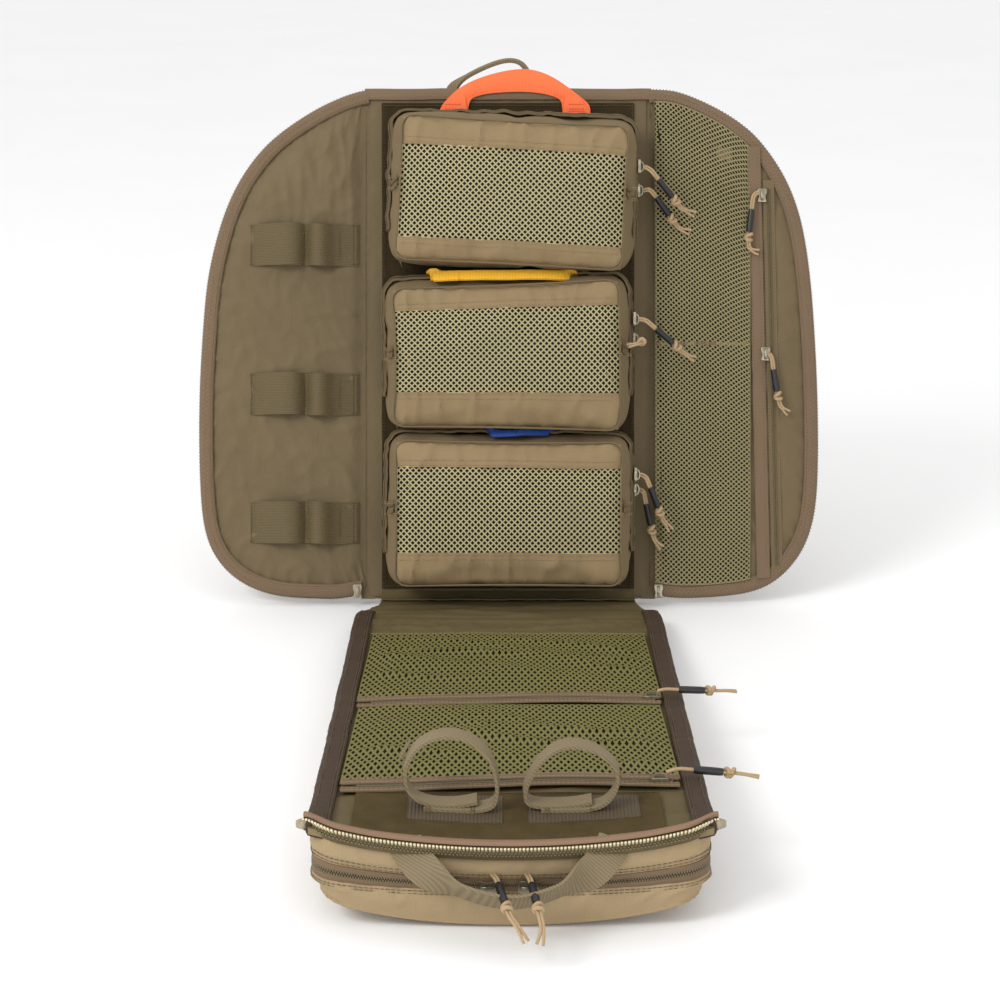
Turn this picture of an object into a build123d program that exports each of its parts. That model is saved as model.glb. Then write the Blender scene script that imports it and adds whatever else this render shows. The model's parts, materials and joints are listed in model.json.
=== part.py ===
from build123d import *
import math
import os

os.makedirs("parts", exist_ok=True)

# Clamshell trauma backpack, laid open.
# The back panel leans back, the two wings lie open beside it, and the front
# flap lies forward with its front compartment resting on the floor.
# +X to the right, +Y backwards, +Z up, millimetres.

# ---- driving dimensions -------------------------------------------------
PANEL_HEIGHT = 485.0        # back panel, fold line to top edge
HALF_SEAM = 134.4           # centre to the crease that each wing folds on
WING_DEPTH = 162.6          # crease to the wing's outer edge
WING_CORNER = 85.0          # bottom outer corner radius
WING_SHOULDER = 208.0       # height at which the wing's top curve begins
PANEL_THICK = 13.0
WING_THICK = 10.0
FLAP_THICK = 8.0
BOTTOM_DEPTH = 167.0        # fold line to the bottom front fold
FLAP_LENGTH = 675.0         # fold line to the flap's free end
FLAP_HALF = 142.0
LEAN = 17.0                 # back panel, from vertical
FLAP_RISE = 5.5             # flap, from horizontal
BINDING_WIDTH = 13.0
CLEAR = 0.4                 # between soft pieces on different bodies
WEBBING = 25.0
WEBBING_THICK = 1.8
ELASTIC = 40.0
ELASTIC_THICK = 1.5
POUCH_WIDTH = 236.0
POUCH_HEIGHT = 146.0
POUCH_BACK = 5.0            # pouch back above the lining, on its hook panel
POUCH_FRONT = 62.0
POUCH_CENTRES = {"top": (4.0, 388.0), "middle": (-0.5, 234.5), "bottom": (0.4, 87.0)}
END_FACE = FLAP_LENGTH + 2 # where the grab handle and the pulls start
CORD_RADIUS = 2.2           # doubled pull cord
SLEEVE_RADIUS = 3.0
SLEEVE_LENGTH = 22.0
SLEEVE_START = 4.5          # along the straight run that carries sleeve and knot
KNOT_RADIUS = 4.4

HINGE_Z = FLAP_THICK        # fold line above the floor
WING_BASE = 2.5             # wing's bottom edge above the fold line
WING_GAP = 1.5              # wing's edge from its crease
POCKET_ZIP_FROM_CREASE = 113.0
ZIP_SLANT = 1.24            # wing pocket zip, from upright
NEAR_ZIP = FLAP_LENGTH - 96.0   # flap pocket zips, placed from the flap's free end
FAR_ZIP = NEAR_ZIP - 217.0
LOOPS_AT = FLAP_LENGTH - 53.0   # middle of the webbing loops' band
LOOP_BAND_WIDTH = 36.0
LID_HINGE = 200.0           # compartment's lower end, from the fold line
BAND_HEIGHT = 30.0          # rim zip to compartment zip at the free end

PANEL = Pos(0, 0, HINGE_Z) * Rot(-LEAN, 0, 0)
FLAP = Pos(0, 0, HINGE_Z) * Rot(-FLAP_RISE, 0, 0)

parts = {}
cords = []


def box(x0, x1, y0, y1, z0, z1):
    """Box between two corners."""
    size = (x1 - x0, y1 - y0, z1 - z0)
    return Pos((x0 + x1) / 2, (y0 + y1) / 2, (z0 + z1) / 2) * Box(*size)


def on_panel(x0, x1, n0, n1, u0, u1):
    """Box in the back panel's frame: n is forward of the lining, u is up it."""
    return box(x0, x1, -n1, -n0, u0, u1)


def on_flap(x0, x1, s0, s1, z0, z1):
    """Box in the flap's frame: s is away from the fold line, z above it."""
    return box(x0, x1, -s1, -s0, z0, z1)


def mirrored(shape, side):
    """Turn a right-hand shape into the left-hand one where side is -1."""
    if side > 0:
        return shape
    return mirror(shape, about=Plane.YZ)


# ---- back panel ------------------------------------------------------------
def build_back_panel():
    """Outer shell, its stiffener sheet, the lining and the loop field."""
    half = HALF_SEAM - 1.0
    top = PANEL_HEIGHT - 5.0
    lining = 2.5
    sheet_thick = 2.0
    sheet_edge = 9.0
    sink = (HINGE_Z - PANEL_THICK * math.sin(math.radians(LEAN))) / math.cos(math.radians(LEAN))
    shell = on_panel(-half, half, -PANEL_THICK, -lining, -sink, top)
    sheet = on_panel(
        sheet_edge - half, half - sheet_edge, -lining - sheet_thick, -lining, sheet_edge, top - sheet_edge
    )
    parts["back_shell"] = PANEL * (shell - sheet)
    parts["frame_sheet"] = PANEL * sheet
    parts["panel_lining"] = PANEL * on_panel(-half, half, -lining, 0, 0.5, top)
    parts["loop_field"] = PANEL * on_panel(-121, 121, 0, 1.4, 8, top - 6)
    parts["top_binding"] = PANEL * on_panel(-half, half, -PANEL_THICK - 1, 1.5, top, PANEL_HEIGHT + 3)


def webbing_arch(width, rise, band, thick):
    """Flat arch standing in the XZ plane: legs at its ends, thick along Y."""
    corner = min(rise * 0.75, width * 0.25)
    with BuildSketch(Plane.XZ) as sketch:
        with Locations((0, rise / 2)):
            RectangleRounded(width, rise * 2, corner)
        with Locations((0, (rise - band) / 2)):
            RectangleRounded(width - band * 1.8, (rise - band) * 2, corner * 0.4, mode=Mode.SUBTRACT)
        with Locations((0, -rise)):
            Rectangle(width * 2, rise * 2, mode=Mode.SUBTRACT)
    return extrude(sketch.sketch, thick / 2, both=True)


def build_carry_handle():
    """Haul loop sewn at the top of the back panel."""
    arch = webbing_arch(96, 29.5, 9, 3.0)
    place = Pos(-19, PANEL_THICK + 3.5, PANEL_HEIGHT - 12)
    parts["carry_handle"] = PANEL * place * arch


def build_harness():
    """Back pads, shoulder straps, their webbing and adjusters, and the hip belt."""
    behind = PANEL_THICK + 0.3
    pads = []
    for side in (-1, 1):
        for low in (150, 300):
            pad = box(24, 118, behind, behind + 14, low, low + 130)
            pad = fillet(pad.edges().filter_by(Axis.Y), 14)
            pads.append(mirrored(pad, side))
    parts["back_pads"] = PANEL * Compound(children=pads)
    straps, webs, locks, belts = [], [], [], []
    for side in (-1, 1):
        with BuildLine(Plane.YZ) as line:
            FilletPolyline(
                (behind + 7, 458), (behind + 38, 440), (behind + 44, 340), (behind + 28, 215), radius=16
            )
        start = Plane(origin=line.line @ 0, z_dir=line.line % 0, x_dir=(1, 0, 0))
        strap = sweep(start * RectangleRounded(62, 13, 5), path=line.line)
        straps.append(mirrored(Pos(88, 0, 0) * strap, side))
        drop = behind + 19
        web = box(88 - WEBBING / 2, 88 + WEBBING / 2, drop, drop + WEBBING_THICK, 30, 199)
        web += box(88 - WEBBING / 2, 88 + WEBBING / 2, behind, drop, 30, 30 + WEBBING_THICK)
        webs.append(mirrored(web, side))
        lock = box(72, 104, drop, drop + 15, 199.3, 212)
        lock = fillet(lock.edges().filter_by(Axis.X), 4)
        locks.append(mirrored(lock, side))
        belt = box(30, 126, behind, behind + 18, 46, 128)
        belts.append(mirrored(fillet(belt.edges().filter_by(Axis.Y), 20), side))
    parts["shoulder_straps"] = PANEL * Compound(children=straps)
    parts["strap_webbing"] = PANEL * Compound(children=webs)
    parts["ladder_locks"] = PANEL * Compound(children=locks)
    parts["hip_belt"] = PANEL * Compound(children=belts)


# ---- wings -------------------------------------------------------------------
def wing_outline(inset):
    """Right wing's face in XZ: straight crease, curved top, rounded bottom."""
    x_in = HALF_SEAM + WING_GAP + inset * 0.15
    x_out = HALF_SEAM + WING_DEPTH - inset
    low = WING_BASE + inset
    top_rise = PANEL_HEIGHT - WING_SHOULDER - inset
    corner = WING_CORNER - inset
    with BuildSketch(Plane.XZ) as sketch:
        with BuildLine():
            Line((x_in, low), (x_out - corner, low))
            RadiusArc((x_out - corner, low), (x_out, low + corner), -corner)
            Line((x_out, low + corner), (x_out, WING_SHOULDER))
            EllipticalCenterArc((x_in, WING_SHOULDER), x_out - x_in, top_rise, start_angle=0, arc_size=90)
            Line((x_in, WING_SHOULDER + top_rise), (x_in, low))
        make_face()
    return sketch.sketch


def wing_slab(inset, n0, n1):
    """Wing outline made solid between two depths forward of the lining."""
    slab = extrude(wing_outline(inset), n1 - n0)
    move = -n0 if slab.bounding_box().min.Y < -1e-6 else -n1
    return Pos(0, move, 0) * slab


def build_wing(side, name):
    """Padded wing panel and the binding with its half of the main zip."""
    panel = wing_slab(BINDING_WIDTH - 1, -WING_THICK, 0)
    crease = box(0, HALF_SEAM + WING_GAP + BINDING_WIDTH * 0.15, -50, 50, -50, 600)
    rim = wing_slab(0, -WING_THICK - 1, 1.2) - wing_slab(BINDING_WIDTH - 1, -60, 60) - crease
    parts[name + "_panel"] = PANEL * mirrored(panel, side)
    parts[name + "_binding"] = PANEL * mirrored(rim, side)


def loop_arch(centre, chord, height):
    """One standing bulge of elastic, open above and below, in the XY plane."""
    half = chord / 2
    thick = ELASTIC_THICK
    with BuildSketch(Plane.XY) as sketch:
        with BuildLine():
            ThreePointArc((centre - half, 0), (centre, -height), (centre + half, 0))
            Line((centre + half, 0), (centre + half - thick, 0))
            ThreePointArc(
                (centre + half - thick, 0), (centre, thick - height), (centre - half + thick, 0)
            )
            Line((centre - half + thick, 0), (centre - half, 0))
        make_face()
    return extrude(sketch.sketch, ELASTIC)


LOOP_ROWS = (317.5, 174.5, 51.5)    # lower edge of each elastic above the fold line
LOOP_START = 9.6                    # from the crease
LOOP_CHORD = 42.0
LOOP_RISE = 19.0
LOOP_TAB = 7.0


def build_elastic_loops():
    """Three bands of elastic on the left wing, each sewn into two loops."""
    bands = []
    for low in LOOP_ROWS:
        start = -HALF_SEAM - LOOP_START
        far = start - 2 * LOOP_CHORD - 2 * LOOP_TAB - 3
        first = start - LOOP_TAB - LOOP_CHORD / 2
        second = first - LOOP_CHORD - 3
        band = loop_arch(first, LOOP_CHORD, LOOP_RISE) + loop_arch(second, LOOP_CHORD, LOOP_RISE)
        for x0, x1 in (
            (start - LOOP_TAB - 1, start),
            (second + LOOP_CHORD / 2 - 1, first - LOOP_CHORD / 2 + 1),
            (far, far + LOOP_TAB + 1),
        ):
            band += box(x0, x1, -ELASTIC_THICK, 0, 0, ELASTIC)
        bands.append(Pos(0, 0, low) * band)
    parts["elastic_loops"] = PANEL * Compound(children=bands)


def build_wing_pocket():
    """Mesh pocket on the right wing, its tape and its upright zip."""
    inset = BINDING_WIDTH
    near = HALF_SEAM + 5
    tape = HALF_SEAM + 94
    mesh = wing_slab(inset, 0, 4) & box(near, tape, -10, 0, 0, 600)
    zone = Pos(HALF_SEAM + POCKET_ZIP_FROM_CREASE, 0, 210) * Rot(0, -ZIP_SLANT, 0)
    strip = wing_slab(inset, 0, 10) & (zone * box(-18, 5, -2.6, 0, -180, 182))
    mesh -= zone * box(-18.1, 40, -20, 1, -300, 300)
    parts["wing_mesh_pocket"] = PANEL * mesh
    parts["wing_pocket_zip"] = PANEL * strip
    for name, along in (("upper", 175.0), ("lower", 23.0)):
        slider = zone * Pos(0, -2.6 - CLEAR, along) * slider_block()
        parts["wing_slider_" + name] = PANEL * slider


# ---- zip sliders and pull cords -------------------------------------------------
def slider_block():
    """Zip slider, 9 wide and 13 long, its back at y = 0, its bridge forward."""
    body = box(-4.5, 4.5, -3, 0, -6.5, 6.5)
    body = fillet(body.edges().filter_by(Axis.Y), 2.5)
    bridge = box(-1.2, 1.2, -6, -3, -4, 4) - box(-3, 3, -4.6, -3, -2.4, 2.4)
    return body + bridge


def pull(name, points, sleeve_at):
    """Doubled cord through a sleeve to a knot: solids for cord, sleeve and knot.

    The sleeve and the knot lie on the straight run number sleeve_at.
    """
    runs = [math.dist(a, b) for a, b in zip(points, points[1:])]
    radii = []
    for i in range(1, len(points) - 1):
        before = Vector(*points[i]) - Vector(*points[i - 1])
        after = Vector(*points[i + 1]) - Vector(*points[i])
        turn = math.radians(before.get_angle(after))
        radii.append(0.45 * min(runs[i - 1], runs[i]) / math.tan(turn / 2))
    line = FilletPolyline(*points, radius=radii)
    tube = sweep(Plane(origin=line @ 0, z_dir=line % 0) * Circle(CORD_RADIUS), path=line)
    a = Vector(*points[sleeve_at])
    way = (Vector(*points[sleeve_at + 1]) - a).normalized()
    seat = Plane(origin=a + way * SLEEVE_START, z_dir=way)
    bore = extrude(seat * Circle(CORD_RADIUS), SLEEVE_LENGTH + 4 * KNOT_RADIUS)
    sleeve = extrude(seat * Circle(SLEEVE_RADIUS), SLEEVE_LENGTH) - bore
    centre = a + way * (SLEEVE_START + SLEEVE_LENGTH + KNOT_RADIUS)
    knot = Plane(origin=centre, z_dir=way) * Sphere(KNOT_RADIUS) - bore
    print("pull", name, "length", round(line.length, 1), "radii", [round(r, 1) for r in radii])
    cords.append(name)
    return Compound(children=[tube.solid(), sleeve.solid(), knot.solid()])


def build_wing_pulls():
    """Pull cords of the wing pocket's two sliders."""
    upper = [
        (HALF_SEAM + 105, -9.5, 387), (HALF_SEAM + 100.5, -10.5, 386), (HALF_SEAM + 99, -10.2, 376),
        (HALF_SEAM + 94.5, -9.6, 337), (HALF_SEAM + 99, -9.6, 331), (HALF_SEAM + 105.5, -9.6, 330),
    ]
    lower = [
        (HALF_SEAM + 115.5, -9.5, 233), (HALF_SEAM + 118, -10.5, 229), (HALF_SEAM + 118.5, -10.2, 223),
        (HALF_SEAM + 124.5, -9.6, 185), (HALF_SEAM + 129, -9.6, 179.5), (HALF_SEAM + 134, -9.6, 176),
    ]
    parts["wing_pull_upper"] = PANEL * pull("wing_pull_upper", upper, 2)
    parts["wing_pull_lower"] = PANEL * pull("wing_pull_lower", lower, 2)


# ---- pouches ---------------------------------------------------------------------
def build_pouch(name):
    """Soft pouch on its hook panel, mesh window, handle, sliders and pulls."""
    x, u = POUCH_CENTRES[name]
    half_w = POUCH_WIDTH / 2
    half_h = POUCH_HEIGHT / 2
    body = on_panel(x - half_w, x + half_w, POUCH_BACK, POUCH_FRONT, u - half_h, u + half_h)
    body = fillet(body.edges().filter_by(Axis.Y), 16)
    body = fillet(body.faces().sort_by(Axis.Y)[0].edges(), 13)
    window = (98.0, 38.0)
    recess = on_panel(
        x - window[0], x + window[0], POUCH_FRONT - 2, POUCH_FRONT, u - window[1], u + window[1]
    )
    hook = on_panel(x - 90, x + 90, 1.4 + CLEAR, POUCH_BACK, u - half_h + 36, u + half_h - 30)
    parts[name + "_pouch"] = PANEL * (body - recess + hook)
    parts[name + "_pouch_window"] = PANEL * recess
    rise = {"top": 29.5, "middle": 18.0, "bottom": 14.0}[name]
    band = {"top": 16.8, "middle": 11.0, "bottom": 9.0}[name]
    width = {"top": 140.0, "middle": 132.0, "bottom": 90.0}[name]
    foot = {"top": 3.0, "middle": -21.0, "bottom": -21.0}[name]
    arch = Pos(x, -3.2, u + half_h + foot) * webbing_arch(width, rise, band, 2.4)
    parts[name + "_pouch_handle"] = PANEL * arch


PULL_ROUTES = {
    "top": (
        [(128.7, -37, 408), (134, -39, 406), (139, -37, 400), (163, -26, 371.5), (169, -22.5, 368), (178, -19, 365)],
        [(128.7, -25, 387), (133, -27.5, 388.5), (138, -26.5, 385), (160, -14, 355), (166, -11.5, 351), (174, -10, 349)],
    ),
    "middle": (
        [(124.2, -37, 264), (129.5, -39.5, 263.5), (136, -38, 258), (165, -28, 234), (171, -25, 229.5), (178, -23, 227)],
        [(124.2, -25, 246), (128.5, -29, 246), (129, -36, 245), (124, -74, 240), (119, -79, 237.5), (111, -81, 236)],
    ),
    "bottom": (
        [(125.1, -37, 117), (130, -39.5, 115.5), (132.5, -39, 109.5), (146, -27, 75.5), (150.5, -24, 70.5), (155, -22, 64)],
        [(125.1, -25, 103), (129, -27.5, 101), (130, -27, 94.5), (138, -17, 57.5), (142, -15, 51.5), (147, -14, 47)],
    ),
}


def build_pouch_zip(name):
    """The two sliders of a pouch's zip and their pull cords."""
    x, u = POUCH_CENTRES[name]
    side = x + POUCH_WIDTH / 2 + CLEAR
    routes = PULL_ROUTES[name]
    blocks, pulls = [], []
    for points in routes:
        height = points[0][2]
        depth = points[0][1]
        turned = Pos(side, depth, height) * Rot(0, 0, 90) * slider_block()
        blocks.append(turned)
        pulls.append(pull(name + "_pouch_pulls", points, 2))
    parts[name + "_pouch_sliders"] = PANEL * Compound(children=blocks)
    parts[name + "_pouch_pulls"] = PANEL * Compound(children=[s for p in pulls for s in p.solids()])


# ---- front flap ----------------------------------------------------------------------
def floor_height(s, height):
    """Flap-frame height of the point at s that is this high above the floor."""
    rise = math.radians(FLAP_RISE)
    return (height - HINGE_Z - s * math.sin(rise)) / math.cos(rise)


def side_slab(profile, half_width):
    """Extrude a side profile of (s, z) points across the flap."""
    with BuildSketch(Plane.YZ) as sketch:
        with BuildLine():
            Polyline(*[(-s, z) for s, z in profile], close=True)
        make_face()
    return extrude(sketch.sketch, half_width, both=True)


def rounded_plan(half_width, low, end, radius):
    """Tall prism over the compartment, its two free corners rounded."""
    prism = on_flap(-half_width, half_width, low, end, -200, 50)
    free = [e for e in prism.edges().filter_by(Axis.Z) if e.center().Y < 1 - end]
    return fillet(free, radius)


def build_flap_panels():
    """Bag bottom, front panel and the bindings down the flap's sides."""
    narrow = HALF_SEAM - 12.4
    with BuildSketch() as sketch:
        with BuildLine():
            Polyline(
                (-narrow, -2), (narrow, -2), (narrow, -25), (FLAP_HALF, -75), (FLAP_HALF, 0.5 - BOTTOM_DEPTH),
                (-FLAP_HALF, 0.5 - BOTTOM_DEPTH), (-FLAP_HALF, -75), (-narrow, -25), close=True,
            )
        make_face()
    parts["base_panel"] = FLAP * extrude(sketch.sketch, -FLAP_THICK)
    front = on_flap(-FLAP_HALF, FLAP_HALF, BOTTOM_DEPTH + 0.5, FLAP_LENGTH, -FLAP_THICK, 0)
    parts["front_panel"] = FLAP * front
    strips = []
    for side in (-1, 1):
        strip = on_flap(FLAP_HALF - 18, FLAP_HALF, BOTTOM_DEPTH + 1, FLAP_LENGTH - 8, 0, 1.5)
        strips.append(mirrored(strip, side))
    parts["flap_side_bindings"] = FLAP * Compound(children=strips)


def build_flap_pockets():
    """Two mesh pockets with their zips, slider and pull each."""
    inner = FLAP_HALF - 18.5
    parts["far_mesh_pocket"] = FLAP * on_flap(-inner, inner, BOTTOM_DEPTH + 3, FAR_ZIP - 9, 0, 3)
    parts["near_mesh_pocket"] = FLAP * on_flap(-inner, inner, FAR_ZIP + 9, NEAR_ZIP - 9, 0, 3)
    tapes = [on_flap(-inner, inner, zip_at - 8.5, zip_at + 8.5, 0, 2.6) for zip_at in (FAR_ZIP, NEAR_ZIP)]
    parts["flap_pocket_zips"] = FLAP * Compound(children=tapes)
    lift = 2.6 + CLEAR
    routes = {
        "far": (116, [(121, 0, 9.5), (127, -1, 11.4), (133, -1, 11), (171.5, 1, 9.2), (178, 3, 9), (186, 3.5, 8)]),
        "near": (109, [(114, 0, 9.5), (121, 1, 12), (129, 1, 11.6), (167.5, -2, 9.2), (174, -3.5, 8.6), (181.5, -4.5, 7.4)]),
    }
    for name, zip_at in (("far", FAR_ZIP), ("near", NEAR_ZIP)):
        start, route = routes[name]
        block = Pos(start, -zip_at, lift) * Rot(-90, 0, 0) * Rot(0, 90, 0) * slider_block()
        parts[name + "_pocket_slider"] = FLAP * block
        points = [(x, y - zip_at, z) for x, y, z in route]
        parts[name + "_pocket_pull"] = FLAP * pull(name + "_pocket_pull", points, 2)


def build_webbing_loops():
    """Two standing webbing loops sewn to a band across the flap's end."""
    parts["loop_band"] = FLAP * on_flap(
        -108, 104, LOOPS_AT - LOOP_BAND_WIDTH / 2, LOOPS_AT + LOOP_BAND_WIDTH / 2, 0, 2
    )
    rings = []
    for x, wide, tall in ((-43, 68, 56), (42, 70, 50)):
        with BuildSketch(Plane.XZ) as sketch:
            with Locations((x, 2.2 + tall / 2)):
                Ellipse(wide / 2, tall / 2)
                Ellipse(wide / 2 - 2.5, tall / 2 - 2.5, mode=Mode.SUBTRACT)
            with Locations((x, 0)):
                Rectangle(wide, 7.2, mode=Mode.SUBTRACT)
        ring = extrude(sketch.sketch, WEBBING / 2, both=True)
        foot = box(x - 20, x + 20, -WEBBING / 2, WEBBING / 2, 2, 3.8)
        rings.append(Pos(0, -LOOPS_AT, 0) * (ring + foot))
    parts["webbing_loops"] = FLAP * Compound(children=rings)


def build_compartment():
    """Rim zip, gusset band, compartment zip and the lid that lies on the floor."""
    end = FLAP_LENGTH - 3
    low = LID_HINGE
    under = -FLAP_THICK
    wall = 3.0
    zip_thick = 3.0
    zip_low = -FLAP_THICK - 5
    zip_end = -BAND_HEIGHT
    half = FLAP_HALF - 4
    corner = 16.0
    outside = rounded_plan(half, low, end, corner)
    inside = rounded_plan(half - wall, low + wall, end - wall, corner - wall)
    gusset = [(low, under), (end, under), (end, zip_end), (low, zip_low)]
    band = (side_slab(gusset, half) & outside) - inside
    for side in (-1, 1):
        band += mirrored(on_flap(58, 76, end - wall, END_FACE - CLEAR, -24, under), side)
    parts["compartment_gusset"] = FLAP * band
    ring = [
        (low, zip_low), (end, zip_end), (end + 1, zip_end),
        (end + 1, zip_end - zip_thick), (end, zip_end - zip_thick), (low, zip_low - zip_thick),
    ]
    round_zip = rounded_plan(half + 1, low, end + 1, corner + 1)
    parts["compartment_zip"] = FLAP * (side_slab(ring, half + 1) & round_zip - inside)
    rim = on_flap(-FLAP_HALF, FLAP_HALF, FLAP_LENGTH, FLAP_LENGTH + 5, -4, 3)
    parts["rim_zip"] = FLAP * rim
    top_low = zip_low - zip_thick - CLEAR
    top_end = zip_end - zip_thick - CLEAR
    tray = [(low, top_low), (end, top_end), (end, floor_height(end, 0)), (low, floor_height(low, 0))]
    floor_side = [(low, 50), (end, 50), (end, floor_height(end, 4)), (low, floor_height(low, 4))]
    scoop = side_slab(floor_side, half) & inside
    parts["front_lid"] = FLAP * ((side_slab(tray, half) & outside) - scoop)
    for side, name in ((-1, "left"), (1, "right")):
        x = 14.0 * side - 1.0
        block = Pos(x, -(end + 1) - CLEAR, zip_end - zip_thick / 2) * Rot(0, 90, 0) * slider_block()
        parts["compartment_slider_" + name] = FLAP * block


def build_compartment_pulls():
    """Pull cords that fall from the compartment's sliders to the floor."""
    routes = {
        "left": [
            (-13, -6.3, -31), (-11.5, -12, -30.6), (-9.5, -17, -31.5), (-2, -53, -42.5),
            (2, -59, -46), (6.5, -63, -51.5), (10, -65, -58),
        ],
        "right": [
            (11, -6.3, -31), (12, -12, -30.6), (13.5, -17, -31.5), (19, -54, -42.5),
            (20.5, -60.5, -46), (21, -65, -52), (19, -67, -59),
        ],
    }
    for name, route in routes.items():
        points = [(x, y - END_FACE, z) for x, y, z in route]
        parts["compartment_pull_" + name] = FLAP * pull("compartment_pull_" + name, points, 2)


def build_flap_handle():
    """Webbing grab handle drooping from the flap's end."""
    span = 144.0
    sag = 44.0
    with BuildSketch() as sketch:
        with BuildLine():
            ThreePointArc((-span / 2, 0), (0, -sag), (span / 2, 0))
            Line((span / 2, 0), (span / 2 - WEBBING_THICK - 1, 0))
            ThreePointArc((span / 2 - WEBBING_THICK - 1, 0), (0, 2.5 - sag), (WEBBING_THICK + 1 - span / 2, 0))
            Line((WEBBING_THICK + 1 - span / 2, 0), (-span / 2, 0))
        make_face()
    arch = extrude(sketch.sketch, WEBBING / 2, both=True)
    place = Pos(0, -END_FACE, -14) * Rot(62, 0, 0)
    trim = box(-200, 200, -END_FACE, 0, -200, 200)
    parts["flap_handle"] = FLAP * (place * arch - trim)


def build_main_sliders():
    """Main zip's sliders, parked at the foot of each crease."""
    for side, name in ((-1, "left"), (1, "right")):
        block = box(HALF_SEAM + 4, HALF_SEAM + 16, -10.5, -1.2 - CLEAR, -5.5, 15.1)
        block = fillet(block.edges().filter_by(Axis.Y), 4)
        parts["main_slider_" + name] = PANEL * mirrored(block, side)


build_back_panel()
build_carry_handle()
build_harness()
for wing_side, wing_name in ((-1, "left_wing"), (1, "right_wing")):
    build_wing(wing_side, wing_name)
build_elastic_loops()
build_wing_pocket()
build_wing_pulls()
build_main_sliders()
for pouch_name in POUCH_CENTRES:
    build_pouch(pouch_name)
    build_pouch_zip(pouch_name)
build_flap_panels()
build_flap_pockets()
build_webbing_loops()
build_compartment()
build_compartment_pulls()
build_flap_handle()

# The origin is the middle of the footprint, on the floor.
whole = Compound(children=[shape for name, shape in parts.items() if name not in cords]).bounding_box()
SHIFT = Vector(-(whole.min.X + whole.max.X) / 2, -(whole.min.Y + whole.max.Y) / 2, -whole.min.Z)
print("shift", SHIFT, "size", whole.size)
for name, shape in parts.items():
    placed = Pos(SHIFT) * shape
    solids = placed.solids()
    export_step(solids[0] if len(solids) == 1 else Compound(children=list(solids)), "parts/" + name + ".step")
print(len(parts), "nodes")
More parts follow.
